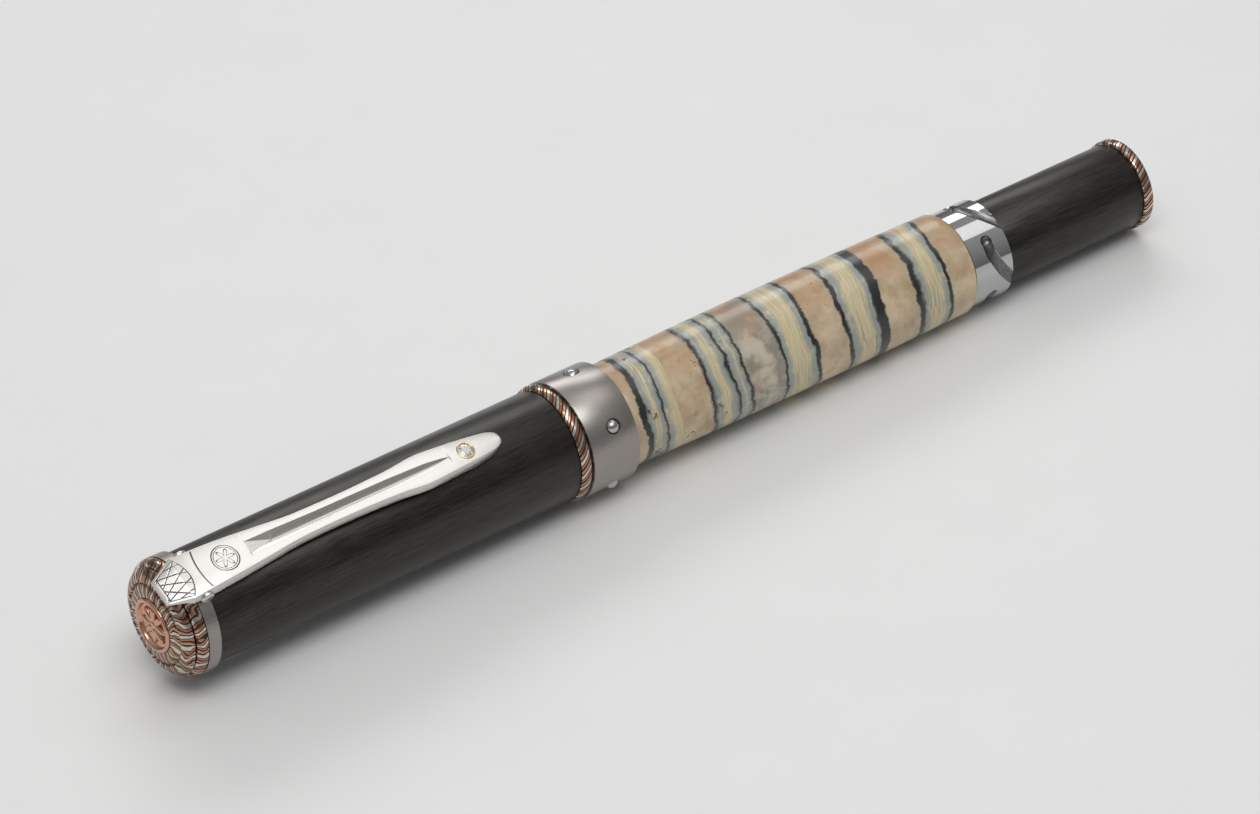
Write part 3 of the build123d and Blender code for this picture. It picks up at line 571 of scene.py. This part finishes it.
def make_brilliant():
    """Painted reflections: light and dark wedges in the colour about the stone's middle, for the room that
    its facets throw back.
    """
    recipe = Recipe("clear_stone")
    measure = recipe.group(MEASURES)
    ahead, beside = recipe.minus(measure["Along"], STONE_A), measure["Across"]
    reach = recipe.length(ahead, beside)
    about = recipe.math("DIVIDE", recipe.math("ARCTAN2", beside, ahead), math.tau)
    ring_of = recipe.math("FLOOR", recipe.times(reach, 3.6))
    painted_reflection_wedge = recipe.math("FRACT", recipe.line(ring_of, 0.37, recipe.times(about, 5.0)))
    white, pale = (0.95, 0.95, 0.95, 1), (0.7, 0.7, 0.7, 1)
    grey, dim = (0.4, 0.4, 0.41, 1), (0.2, 0.2, 0.21, 1)
    # The wedges are painted reflections, put into the stone's base colour.
    tone = recipe.ramp(painted_reflection_wedge, [(0.0, white), (0.22, grey), (0.4, white), (0.58, dim), (0.7, pale),
                               (0.86, white)], "CONSTANT")
    return recipe.finish(Base_Color=tone, Roughness=0.03, Transmission_Weight=0.25, IOR=2.2)


clear_stone = make_brilliant()

# %% [markdown]
# ## Engraving on the clip
# Fine lines cut in the clip are narrower than a tenth of a millimetre, so they are a
# mask in the material: it darkens the metal and drives a bump. The head carries a field
# where two fans of lines cross, a curved line crosses the clip behind it, and the round
# place behind that holds a plain ring and a small star of arcs.

# %% The clip's metal with its engraved lines
FAN_STEP = math.radians(6.0)   # half the angle between two rays of a fan


def make_engraved():
    recipe = Recipe("engraved_clip")
    measure = recipe.group(MEASURES)
    along, across, height = measure["Along"], measure["Across"], measure["Height"]
    wide = recipe.times(across, across)

    def near(value, where, half=0.05):
        gap = recipe.math("ABSOLUTE", recipe.minus(value, where))
        return recipe.span(gap, half * 0.5, half * 1.5, 1.0, 0.0)

    def inside(value, low, high):
        return recipe.times(recipe.span(value, low - 0.03, low + 0.03),
                           recipe.span(value, high - 0.03, high + 0.03, 1.0, 0.0))

    beside_middle = recipe.math("ABSOLUTE", across)
    half = recipe.line(along, 0.407, 1.78)
    inset = recipe.minus(half, beside_middle)
    on_head = recipe.span(inset, 0.27, 0.33)
    cross = recipe.line(wide, -0.06, along)
    lines = recipe.times(near(cross, 4.5, 0.085), recipe.span(beside_middle, 2.45, 2.5, 1.0, 0.0))
    head_end = recipe.line(wide, 0.14, along)
    border = recipe.times(near(inset, 0.3, 0.05), inside(head_end, 0.1, 3.3))
    ends = recipe.larger(near(head_end, 3.3, 0.06), near(along, 0.1, 0.05))
    border = recipe.larger(border, recipe.times(ends, on_head))
    lines = recipe.larger(lines, border)
    for corner in (-2.3, 2.3):
        beside = recipe.minus(across, corner)
        ahead = recipe.plus(along, 2.6)
        away = recipe.length(beside, ahead)
        ray = recipe.plus(recipe.math("ARCTAN2", beside, ahead), math.pi)
        gap = recipe.minus(FAN_STEP, recipe.math("PINGPONG", ray, FAN_STEP))
        fan = near(recipe.times(gap, away), 0.0, 0.06)
        fan = recipe.times(recipe.times(fan, on_head), inside(head_end, 0.1, 3.3))
        lines = recipe.larger(lines, fan)
    centre = recipe.minus(along, 7.95)
    reach = recipe.length(centre, across)
    ring = recipe.larger(near(reach, 1.6, 0.06), near(reach, 1.36, 0.035))
    turn_about = recipe.math("ARCTAN2", across, centre)
    leaf = recipe.line(recipe.math("COSINE", recipe.times(turn_about, 6.0)), 0.42, 0.72)
    star = near(recipe.minus(reach, leaf), 0.0, 0.075)
    lines = recipe.larger(lines, recipe.larger(ring, star))
    lines = recipe.times(lines, recipe.span(height, 6.95, 7.1))

    grain = recipe.group(GRAIN, Fineness=7000.0, Stretch_Along=12.0)
    marks = recipe.span(grain["Marks"], 0.3, 0.7)
    tone = recipe.mix(marks, (0.70, 0.685, 0.65, 1), (0.73, 0.715, 0.68, 1))
    tone = recipe.mix(lines, tone, (0.10, 0.095, 0.09, 1))
    rough = recipe.line(marks, 0.05, 0.24)
    depth = recipe.times(lines, -1.0)
    normal = recipe.bump(depth, 0.5, 0.04 * MM)
    return recipe.finish(Base_Color=tone, Roughness=rough, Normal=normal, Metallic=1.0)


engraved_clip = make_engraved()

# %% [markdown]
# ## Turned pieces
# Each outline below is the piece cut through its axis. Corners get a small bevel, since
# no real edge is perfectly sharp, and an edge without one catches no light.

# %% Outline helpers
def unwrapped(angle, before):
    """The same angle, counted so that it lies within half a turn of the one before."""
    while angle - before > math.pi:
        angle -= math.tau
    while angle - before < -math.pi:
        angle += math.tau
    return angle


def arc(first, middle, last, steps=8):
    """Points on the circle through three (a, r) points."""
    (x1, y1), (x2, y2), (x3, y3) = first, middle, last
    d = 2 * (x1 * (y2 - y3) + x2 * (y3 - y1) + x3 * (y1 - y2))
    s1, s2, s3 = x1 * x1 + y1 * y1, x2 * x2 + y2 * y2, x3 * x3 + y3 * y3
    cx = (s1 * (y2 - y3) + s2 * (y3 - y1) + s3 * (y1 - y2)) / d
    cy = (s1 * (x3 - x2) + s2 * (x1 - x3) + s3 * (x2 - x1)) / d
    radius = math.hypot(x1 - cx, y1 - cy)
    a1, a2, a3 = (math.atan2(y - cy, x - cx) for x, y in (first, middle, last))
    a2 = unwrapped(a2, a1)
    a3 = unwrapped(a3, a2)
    turns = [a1 + (a3 - a1) * i / steps for i in range(steps + 1)]
    return [(cx + radius * math.cos(angle), cy + radius * math.sin(angle)) for angle in turns]


def flow(points, a, column=1):
    """A smooth line through measured points: straight runs eased by their slopes."""
    points = sorted(points)
    for i in range(len(points) - 1):
        if a <= points[i + 1][0] or i == len(points) - 2:
            break
    x0, x1 = points[i][0], points[i + 1][0]
    y0, y1 = points[i][column], points[i + 1][column]

    def slope(k):
        if k <= 0 or k >= len(points) - 1:
            return (y1 - y0) / (x1 - x0)
        left = (points[k][column] - points[k - 1][column]) / (points[k][0] - points[k - 1][0])
        right = (points[k + 1][column] - points[k][column]) / (points[k + 1][0] - points[k][0])
        if left * right <= 0:
            return 0.0
        return 2 * left * right / (left + right)
    t = min(1.0, max(0.0, (a - x0) / (x1 - x0)))
    m0, m1 = slope(i) * (x1 - x0), slope(i + 1) * (x1 - x0)
    return ((2 * t ** 3 - 3 * t ** 2 + 1) * y0 + (t ** 3 - 2 * t ** 2 + t) * m0
            + (-2 * t ** 3 + 3 * t ** 2) * y1 + (t ** 3 - t ** 2) * m1)


def add_ball(place, radius, segments=48, **settings):
    bpy.ops.mesh.primitive_uv_sphere_add(segments=segments, ring_count=segments // 2, radius=radius * MM,
                                         location=place, **settings)
    return bpy.context.object


def dress(piece, material, body, *nodes, slot=None):
    """Gives a new piece its finish, its body and the solids that it stands for."""
    piece.data.materials.clear()
    piece.data.materials.append(material)
    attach(piece, body)
    if nodes:
        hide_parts(*nodes)
    return piece


# %% [markdown]
# The barrel swells gently to the middle. Its ends are rounded over a quarter of a
# millimetre, and a fine bright line, the liner's edge, shows at the tail end.

# %% The barrel's sleeve
BORE_R = 5.02                # the bore of the sleeve and of both lock rings
EDGE = 0.25                  # how far the sleeve's ends are rounded
SLEEVE_A0, SLEEVE_A1 = 61.91, 112.14
BARREL_FRONT_R, BARREL_MID_R, BARREL_REAR_R = 6.24, 6.54, 6.28


def barrel_r(a):
    middle = (SLEEVE_A0 + SLEEVE_A1) / 2
    end_r = BARREL_FRONT_R if a < middle else BARREL_REAR_R
    off = (a - middle) / (SLEEVE_A1 - middle)
    return BARREL_MID_R - (BARREL_MID_R - end_r) * off * off


swell = [(SLEEVE_A0 + EDGE + (SLEEVE_A1 - SLEEVE_A0 - 2 * EDGE) * i / 40) for i in range(41)]
outline = ([(SLEEVE_A0, BORE_R), (SLEEVE_A0, BARREL_FRONT_R - EDGE),
            (SLEEVE_A0 + 0.08, BARREL_FRONT_R - 0.08)]
           + [(a, barrel_r(a)) for a in swell]
           + [(SLEEVE_A1 - 0.08, BARREL_REAR_R - 0.08), (SLEEVE_A1, BARREL_REAR_R - EDGE),
              (SLEEVE_A1, BORE_R)])
barrel = turn("banded_barrel", outline, steps=160, bevel=0)
dress(barrel, banded, "barrel", "barrel_sleeve", slot="banded")

# %% The dark tubes: cap and tail
cap_tube = turn("cap_tube_satin", [(4.66, 5.94), (53.79, 5.94), (53.79, 6.74), (4.66, 6.62)], bevel=0.08)
dress(cap_tube, dark_satin, "cap", "cap_tube", slot="charcoal")
tail_tube = turn("tail_tube_satin", [(109.0, 4.0), (118.5, 4.0), (119.1, 4.35), (139.6, 4.35), (139.6, 4.9),
                                     (138.56, 4.9), (138.56, 5.28), (117.93, 5.28), (117.93, 4.58),
                                     (109.0, 4.58)], bevel=0.06)
dress(tail_tube, dark_satin, "barrel", "tail_tube", slot="charcoal")

# %% [markdown]
# The finial is a stack of beads: a flat-domed face round the medallion, a large bead, and
# a last small bead against the smooth ring. A cut groove parts each from the next.

# %% The finial
finial_outline = ([(0.95, 0.0), (0.95, 3.3), (0.3, 3.3), (0.26, 3.42)]
                  + arc((0.3, 3.6), (0.36, 4.2), (0.6, 4.7), 6) + [(0.8, 4.84)]
                  + arc((0.58, 5.0), (0.86, 5.86), (1.5, 6.42), 10) + [(1.6, 6.4), (1.7, 6.1)]
                  + arc((1.78, 6.5), (2.2, 6.93), (2.75, 7.0), 6)
                  + [(2.96, 6.98), (2.99, 6.9), (2.99, 4.0), (4.6, 4.0), (4.6, 1.05), (1.9, 1.05),
                     (1.9, 0.0)])
finial = turn("finial_stack", finial_outline, steps=160, bevel=0)
dress(finial, finial_laminate, "cap", "finial", slot="laminate")

# %% [markdown]
# The medallion has a raised rim. On the real cap its middle carries a mark, so here it
# gets a plain rosette instead: one petal is a ball pressed flat, copied eight times.

# %% The medallion
medallion = turn("medallion", [(0.92, 0.0), (0.5, 0.0), (0.5, 2.6)]
                 + arc((0.26, 2.72), (0.0, 2.98), (0.22, 3.25), 6) + [(0.92, 3.27)], steps=96, bevel=0.03)
clear_selection()
petals = []
for i in range(8):
    angle = math.tau * i / 8
    petals.append(add_ball(round_at(0.46, 1.32, angle), 1, 24, rotation=(angle, 0, 0),
                           scale=(0.36, 1.02, 0.44)))
petals.append(add_ball(at(0.4), 1, 24, rotation=(0, math.radians(90), 0), scale=(0.5, 0.5, 0.24)))
join(petals, medallion)
settle(medallion)
dress(medallion, rose_gold, "cap", "finial_medallion", slot="rose")

# %% Twisted trim ring and tail ring
trim = turn("trim_ring_rope", [(53.85, 5.97)] + arc((53.85, 6.8), (54.6, 7.12), (55.36, 6.8), 10)
            + [(55.36, 5.97)], steps=180, bevel=0.03)
dress(trim, rope_laminate, "cap", "cap_trim_ring", slot="laminate")
tail_ring = turn("tail_ring_rope", [(138.6, 4.92)] + arc((138.6, 5.23), (138.7, 5.48), (138.95, 5.58), 4)
                 + arc((139.65, 5.58), (139.9, 5.48), (140.0, 5.23), 4) + [(140.0, 4.92)],
                 steps=180, bevel=0.02)
dress(tail_ring, tail_laminate, "barrel", "tail_ring", slot="laminate")
tail_plug = turn("tail_plug_cap", [(136.05, 0.0), (139.95, 0.0)]
                 + arc((139.95, 0.8), (139.9, 3.0), (139.78, 4.88), 5) + [(139.65, 4.88), (139.65, 4.33),
                                                                   (136.05, 4.33)], bevel=0.03)
dress(tail_plug, dark_satin, "barrel", "tail_plug", slot="grey")

# %% [markdown]
# The band is turned, and then drilled for its five balls. A cone and a bar are set on
# each hole's line, and a Boolean modifier takes them out of the band, as a drill and a
# countersink would.

# %% The cap band and its balls
BALL_A, BALL_CENTRE_R, BALL_R = 58.95, 6.65, 0.9
FIRST_BALL, APART = 148.8, 72        # degrees round the pen
BALL_ANGLES = [math.radians(FIRST_BALL + APART * i) for i in range(5)]
band = turn("cap_band_grey", [(55.41, 5.96), (55.96, 5.96), (55.96, 6.4), (61.81, 6.4), (61.81, BAND_R),
                              (55.41, BAND_R)], steps=180, bevel=0.1)
for angle in BALL_ANGLES:
    out = Vector((0, math.cos(angle), math.sin(angle)))
    turned_to = out.to_track_quat("Z", "Y").to_euler()
    clear_selection()
    bpy.ops.mesh.primitive_cylinder_add(vertices=48, radius=0.875 * MM, depth=3 * MM, rotation=turned_to,
                                        location=at(BALL_A) + out * 6.5 * MM)
    drill = bpy.context.object
    bpy.ops.mesh.primitive_cone_add(vertices=48, radius1=0.84 * MM, radius2=1.08 * MM, depth=0.5 * MM,
                                    rotation=turned_to, location=at(BALL_A) + out * BAND_R * MM)
    cut(band, [drill, bpy.context.object])
settle(band, 30)
dress(band, grey_satin, "cap", "cap_band", slot="grey")

clear_selection()
balls = [add_ball(round_at(BALL_A, BALL_CENTRE_R, angle), BALL_R) for angle in BALL_ANGLES]
join(balls[:-1], balls[-1])
balls = bpy.context.object
balls.name = "locking_balls"
settle(balls, 60)
dress(balls, polished_steel, "cap", "lock_balls", slot="steel")

# %% [markdown]
# The two lock rings are turned with many short steps, so that their polish stays even
# round the cuts. A ball mill's path is a curve with a round bevel: it is turned into a
# mesh, copied round the ring, and taken out with a Boolean. The track starts at the
# dimple, runs level, and then sweeps out to the ring's open edge.

# %% Milling the lock rings
TRACK = [(0, 0.0), (12, 0.0), (24, 0.4), (36, 1.05), (48, 1.95), (58, 2.85), (66, 3.7)]
LOCK_EDGE, MILL_R = 2.84, 1.0
DIMPLE_R = MILL_R + 0.012      # just over the mill, so that the two cuts never share a surface
UNLOCK_TURN, TRACK_LEAD = 73.0, 2.8      # degrees, and mm for each radian
REAR_LOCK_A, REAR_PHASE = 115.03, 136.2
MILL_STEPS = 60


def mill(centre_a, phase, way, travel_of, end_turn):
    """One ball-mill cut, as a mesh, from the dimple out past the ring's edge."""
    data = bpy.data.curves.new("mill", "CURVE")
    data.dimensions = "3D"
    data.bevel_depth = MILL_R * MM
    data.bevel_resolution = 14
    data.use_fill_caps = True
    spline = data.splines.new("POLY")
    spline.points.add(MILL_STEPS)
    for i, point in enumerate(spline.points):
        turned_by = end_turn * i / MILL_STEPS
        angle = math.radians(phase + way * turned_by)
        point.co = (*round_at(centre_a + way * travel_of(turned_by), BALL_CENTRE_R, angle), 1.0)
    make_active(new_object("mill", data))
    bpy.ops.object.convert(target="MESH")
    cutter = bpy.context.object
    start_editing()
    bpy.ops.mesh.remove_doubles(threshold=0.0001 * MM)
    bpy.ops.mesh.fill_holes(sides=0)
    bpy.ops.mesh.select_all(action="SELECT")
    bpy.ops.mesh.normals_make_consistent(inside=False)
    stop_editing()
    return cutter


def lock_ring(name, node, centre_a, phase, way, tracks):
    low, high, edge = centre_a - LOCK_EDGE, centre_a + LOCK_EDGE, 0.12
    outside = [(low + edge + (high - low - 2 * edge) * i / 24, LOCK_R) for i in range(25)]
    ring = turn(name, [(low, BORE_R), (low, LOCK_R - edge)] + outside
                + [(high, LOCK_R - edge), (high, BORE_R)], steps=200, bevel=0)
    for i in range(5):
        here = phase + APART * i
        cutters = [mill(centre_a, here, way, travel, end) for travel, end in tracks]
        clear_selection()
        for r, radius in ((BALL_CENTRE_R, DIMPLE_R), (6.2, 0.8)):
            cutters.append(add_ball(round_at(centre_a, r, math.radians(here)), radius))
        cut(ring, cutters)
    settle(ring, 24)
    return dress(ring, milled_steel, "barrel", node, slot="steel")


def swept(turned_by):
    return flow(TRACK, turned_by)


def straight_out(turned_by):
    return TRACK_LEAD * math.radians(turned_by)


SWEEP = (swept, TRACK[-1][0])
lock_ring("rear_lock_ring_milled", "rear_lock_ring", REAR_LOCK_A, REAR_PHASE, 1, [SWEEP])
lock_ring("front_lock_ring_milled", "front_lock_ring", BALL_A, FIRST_BALL, -1,
          [SWEEP, (straight_out, UNLOCK_TURN * 1.12)])

# %% [markdown]
# Pieces whose solids already have the right shape keep it. Their triangles are loose,
# so a copy is merged and shaded smooth, and the copy stands for the solid.

# %% Solids that keep their shape
def smooth_copy(node, body, material, slot, smooth_angle=32.0):
    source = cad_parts[node]
    copy = source.copy()
    copy.data = source.data.copy()
    copy.name = node + "_dressed"
    copy.data.name = copy.name
    copy.parent = None
    bpy.context.collection.objects.link(copy)
    make_active(copy)
    start_editing()
    bpy.ops.mesh.remove_doubles(threshold=0.0005 * MM)
    stop_editing()
    settle(copy, smooth_angle)
    return dress(copy, material, body, node, slot=slot)


for node, body, material, slot in (
        ("top_ring", "cap", grey_satin, "grey"),
        ("clip_mount", "cap", plain_alloy, "alloy"),
        ("clip_pin", "cap", spring_metal, "spring"),
        ("clip_spring", "cap", spring_metal, "spring"),
        ("finial_screw", "cap", spring_metal, "spring"),
        ("cap_liner", "cap", plain_alloy, "alloy"),
        ("ball_cage", "cap", polished_steel, "steel"),
        ("barrel_tube", "barrel", yellow_metal, "brass"),
        ("grip_section", "section", polished_black, "black"),
        ("section_o_ring", "section", soft_seal, "seal"),
        ("nib_collar", "section", matt_black, "feed"),
        ("nib", "section", fine_gold, "gold"),
        ("feed", "section", matt_black, "feed"),
        ("converter_collar", "converter", plain_alloy, "alloy"),
        ("converter_tube", "converter", clear_shell, "clear"),
        ("converter_sleeve", "converter", plain_alloy, "alloy"),
        ("converter_piston", "piston", matt_black, "feed"),
        ("converter_rod", "piston", plain_alloy, "alloy"),
        ("converter_knob", "knob", plain_alloy, "alloy"),
        ("inner_cap", "inner_cap", matt_black, "feed"),
        ("spring_washer", "spring_seat", spring_metal, "spring"),
        ("inner_cap_spring", "spring_seat", spring_metal, "spring")):
    smooth_copy(node, body, material, slot)

# %% [markdown]
# ## The clip
# The clip is one long bar whose section changes all the way along. It starts as a
# ten-cornered disc, set to the section at the front, and its face is then extruded
# station by station. After each step the new corners are moved to the section there:
# the top, the leaf-shaped hollow with the flat facet at its front, the leaning sides
# and the flat underside.

# %% The clip's measured lines
CLIP_HALF = [(-0.45, 1.6), (2.3, 2.74), (5.0, 2.6), (9.0, 2.32), (13.0, 1.94), (18.0, 1.52), (23.0, 1.44),
             (30.0, 1.6), (34.5, 1.95), (38.0, 1.74), (42.0, 1.4), (43.6, 1.2), (44.4, 1.0), (44.9, 0.74),
             (45.12, 0.48), (45.18, 0.3)]
CLIP_TOP = [(-0.45, 7.12), (2.3, 8.36), (4.0, 8.48), (8.0, 8.6), (16.0, 8.58), (26.0, 8.53), (35.0, 8.4),
            (41.0, 8.1), (45.18, 7.74)]
CLIP_UNDER = [(-0.45, 6.94), (1.4, 7.47), (2.4, 7.47), (5.2, 7.42), (8.0, 7.5), (20.0, 7.5), (34.0, 7.38),
              (39.0, 7.1), (41.2, 6.88), (43.4, 6.98), (45.18, 7.34)]
HOLLOW = [(-0.45, 0.92, 0.56), (14.2, 0.86, 0.56), (20.0, 0.7, 0.54), (30.0, 0.64, 0.48), (35.0, 0.5, 0.36),
          (37.2, 0.26, 0.2), (38.3, 0.03, 0.0), (45.18, 0.03, 0.0)]
FACET_A0, FACET_A1 = 10.8, 14.2      # the flat facet that leads down into the hollow
LEAN = 0.28                          # how far the sides lean out towards the foot


def straight(points, a, column):
    """The same points joined by straight runs."""
    for before, after in zip(points, points[1:]):
        if a <= after[0]:
            share = (a - before[0]) / (after[0] - before[0])
            return before[column] + (after[column] - before[column]) * share
    return points[-1][column]


def clip_section(a):
    """The ten corners of the clip's section at a, in order round it."""
    half = straight(CLIP_HALF[:2], a, 1) if a < 2.3 else flow(CLIP_HALF[1:], a)
    top = straight(CLIP_TOP[:2], a, 1) if a < 2.3 else flow(CLIP_TOP[1:], a)
    under = straight(CLIP_UNDER, a, 1) if a < 6 else flow(CLIP_UNDER[4:], a)
    wide = min(straight(HOLLOW, a, 1), half * 0.7)
    full = straight(HOLLOW, a, 2)
    ramp = min(1.0, max(0.0, (a - FACET_A0) / (FACET_A1 - FACET_A0)))
    if ramp < 1.0:      # the facet's flat floor lies between the two walls
        share, deep = 1 - min(0.97, max(0.03, ramp)), full * ramp
        floor, floor_deep = wide * share, deep
    else:               # a spot on each wall, between the edge and the bottom
        share, deep = 0.03 + min(0.47, (a - FACET_A1) * 0.3), full
        floor, floor_deep = wide * share, full * (1 - share)
    foot = half + LEAN * min(1.0, half / 0.8) * (top - under) / 1.1
    side = [(foot, under), (half, top), (wide, top), (floor, top - floor_deep)]
    return ([clip_at(a, -across, height) for across, height in side] + [clip_at(a, 0, top - deep)]
            + [clip_at(a, across, height) for across, height in side[::-1]] + [clip_at(a, 0, under)])


# %% Extruding the clip along its stations
stations = sorted(set([round(-0.45 + 45.63 * i / 92, 3) for i in range(92)]
                      + [p[0] for p in CLIP_HALF + CLIP_TOP + CLIP_UNDER] + [h[0] for h in HOLLOW]
                      + [FACET_A0, FACET_A1, 43.9, 44.2, 44.4, 44.8, 44.95, 45.12]))
clear_selection()
bpy.ops.mesh.primitive_circle_add(vertices=10, radius=MM, fill_type="NGON")
clip = just_added("clip_long")


def set_section(obj, indices, corners):
    """Moves the given corners to their places while editing is paused."""
    for index, corner in zip(indices, corners):
        obj.data.vertices[index].co = corner


set_section(clip, range(10), clip_section(stations[0]))
last_ring = list(range(10))
for a in stations[1:]:
    bpy.ops.object.mode_set(mode="OBJECT")
    for polygon in clip.data.polygons:
        polygon.select = set(polygon.vertices) == set(last_ring)
    bpy.ops.object.mode_set(mode="EDIT")
    bpy.ops.mesh.select_mode(type="FACE")
    bpy.ops.mesh.extrude_region_move(TRANSFORM_OT_translate={"value": (0.0001, 0, 0)})
    bpy.ops.object.mode_set(mode="OBJECT")
    end_face = next(p for p in clip.data.polygons if p.select)
    ring = list(end_face.vertices)
    shift = {}
    for index in ring:
        co = clip.data.vertices[index].co
        shift[index] = min(last_ring, key=lambda k: (clip.data.vertices[k].co - co).length)
    ring = [next(i for i in ring if shift[i] == k) for k in last_ring]
    set_section(clip, ring, clip_section(a))
    last_ring = ring
start_editing()
bpy.ops.mesh.normals_make_consistent(inside=False)
stop_editing()
apply_modifier(clip, "BEVEL", width=0.09 * MM, segments=3, limit_method="ANGLE", angle_limit=math.radians(32))
print("clip stations", len(stations))

# %% The clip's knuckles, joined to it
PIVOT_A, PIVOT_H = 3.98, 7.45
KNUCKLE_IN, KNUCKLE_OUT, KNUCKLE_R = 2.6, 3.2, 0.86
knuckles = []
for side in (-1, 1):
    inner, outer = side * KNUCKLE_IN, side * KNUCKLE_OUT
    middle = clip_at(PIVOT_A, (inner + outer) / 2, PIVOT_H)
    across = (clip_at(PIVOT_A, 1, 0) - clip_at(PIVOT_A, 0, 0)).normalized()
    clear_selection()
    bpy.ops.mesh.primitive_cylinder_add(vertices=48, radius=KNUCKLE_R * MM, depth=abs(outer - inner) * MM,
                                        location=middle, rotation=across.to_track_quat("Z", "Y").to_euler())
    knuckle = bpy.context.object
    apply_modifier(knuckle, "BEVEL", width=0.26 * MM, segments=4, limit_method="ANGLE",
                   angle_limit=math.radians(40))
    knuckles.append(knuckle)
join(knuckles, clip)
settle(clip, 28)
dress(clip, engraved_clip, "clip", "clip", slot="clip")

# %% [markdown]
# The stone is cut as a brilliant: a sixteen-sided table, sloping crown facets, and a
# pavilion below. It sits in a thin gold bezel, a ring about the stone's own axis.

# %% The stone and its bezel
stone_top = flow(CLIP_TOP[1:], STONE_A)
out = (clip_at(STONE_A, 0, 9) - clip_at(STONE_A, 0, 8)).normalized()
facing = (Matrix.Rotation(CLIP_ROLL, 3, "X")).to_euler()
clear_selection()
bpy.ops.mesh.primitive_cylinder_add(vertices=16, radius=0.86 * MM, depth=0.04 * MM, rotation=facing,
                                    location=clip_at(STONE_A, 0, stone_top + 0.02))
stone = just_added("clip_brilliant")


def select_facing(obj, direction, share=0.9):
    """Selects the faces that look along a direction."""
    bpy.ops.object.mode_set(mode="OBJECT")
    turned = obj.matrix_world.to_3x3()
    for polygon in obj.data.polygons:
        polygon.select = (turned @ polygon.normal).dot(direction) > share
    bpy.ops.object.mode_set(mode="EDIT")
    bpy.ops.mesh.select_mode(type="FACE")


bpy.ops.object.mode_set(mode="EDIT")
bpy.ops.mesh.select_mode(type="FACE")
bpy.ops.mesh.select_all(action="DESELECT")
select_facing(stone, out)
bpy.ops.mesh.extrude_region_move(TRANSFORM_OT_translate={"value": out * 0.17 * MM})
bpy.ops.transform.resize(value=(0.58, 0.58, 0.58), center_override=clip_at(STONE_A, 0, stone_top + 0.21))
select_facing(stone, -out)
bpy.ops.mesh.extrude_region_move(TRANSFORM_OT_translate={"value": -out * 0.36 * MM})
bpy.ops.transform.resize(value=(0.1, 0.1, 0.1), center_override=clip_at(STONE_A, 0, stone_top - 0.36))
bpy.ops.object.mode_set(mode="OBJECT")
settle(stone, 5)
dress(stone, clear_stone, "clip", "clip_stone", slot="gem")

clear_selection()
bpy.ops.mesh.primitive_torus_add(major_segments=64, minor_segments=16, major_radius=0.99 * MM,
                                 minor_radius=0.12 * MM, rotation=facing,
                                 location=clip_at(STONE_A, 0, stone_top + 0.02))
bezel = just_added("stone_bezel_gold")
bpy.ops.mesh.primitive_cylinder_add(vertices=64, radius=1.08 * MM, depth=0.3 * MM, rotation=facing,
                                    location=clip_at(STONE_A, 0, stone_top - 0.16))
join([bpy.context.object], bezel)
settle(bezel, 40)
dress(bezel, fine_gold, "clip", "stone_bezel", slot="gold")

# %% [markdown]
# ## Floor, light and camera
# The pen lies on its band and its tail ring, so the table runs up by one degree along
# the pen's axis. Light comes from a pale room that is brighter overhead, with one large
# soft lamp over the cap, a weaker one behind, and one that the clip's flat top reflects.

# %% The table
TAIL_A, TAIL_R = 139.3, 5.58         # where the tail ring touches the table
slope = math.atan2(BAND_R - TAIL_R, TAIL_A - BALL_A)
rest = at(BALL_A, 0, -BAND_R)
clear_selection()
bpy.ops.mesh.primitive_plane_add(size=3.0, location=rest - Vector((0, 0, 0.00002)), rotation=(0, -slope, 0))
table = bpy.context.object
table.name = "table_top"
recipe = Recipe("pale_table")
speckle = recipe.noise(recipe.place, 60.0, 4.0, 0.6)
tone = recipe.mix(speckle, (0.78, 0.78, 0.775, 1), (0.82, 0.82, 0.815, 1))
table.data.materials.append(recipe.finish(Base_Color=tone, Roughness=0.5))

# %% Light
world = bpy.data.worlds.new("pale_room")
bpy.context.scene.world = world
world.use_nodes = True
room = Graph(world.node_tree)
background = room.tree.nodes["Background"].inputs
background["Color"].default_value = (1.0, 1.0, 1.0, 1)
rays = room.add("LightPath").outputs
seen = room.larger(rays["Is Camera Ray"], rays["Is Transmission Ray"])
rise = room.split(room.add("TexCoord").outputs["Generated"])[2]
glow = room.add("MapRange", rise, 0.0, 1.0, 0.16, 0.48).outputs[0]
room.feed(background["Strength"], room.add("MapRange", seen, 0.0, 1.0, glow, 1.0).outputs[0])


def soft_lamp(name, where, aim, size, watts):
    data = bpy.data.lights.new(name, "AREA")
    data.shape = "RECTANGLE"
    data.size, data.size_y = size
    data.energy = watts
    lamp = new_object(name, data)
    lamp.location = where
    lamp.rotation_euler = (Vector(aim) - Vector(where)).to_track_quat("-Z", "Y").to_euler()


soft_lamp("lamp_over", (-0.10, -0.25, 0.60), (0, 0, 0), (0.50, 0.30), 1.8)
soft_lamp("lamp_behind", (0.20, 0.45, 0.35), (0, 0, 0), (0.50, 0.20), 0.9)
soft_lamp("lamp_on_clip", (0.25, -0.027, 0.557), (-0.045, -0.005, 0.015), (0.30, 0.30), 0.28)

# %% [markdown]
# The camera's place was found from the photograph: the ends of the pen, its rings and
# its balls only line up from one place, three quarters of a metre off, with a long lens.

# %% Camera
camera_data = bpy.data.cameras.new("photo_camera")
camera_data.sensor_width = 36.0
camera_data.lens = 186.04
camera_data.clip_start = 0.01
camera = new_object("photo_camera", camera_data)
right = Vector((0.79655961, -0.6036406, -0.03332889))
down = Vector((-0.36400532, -0.43486255, -0.82364719))
forward = Vector((0.4826934, 0.66821597, -0.56612234))
turned_to = Matrix((right, -down, -forward)).transposed().to_4x4()
turned_to.translation = at(-293.150, -496.887, 421.064)
camera.matrix_world = turned_to
bpy.context.scene.camera = camera
bpy.context.scene.view_settings.view_transform = "Standard"
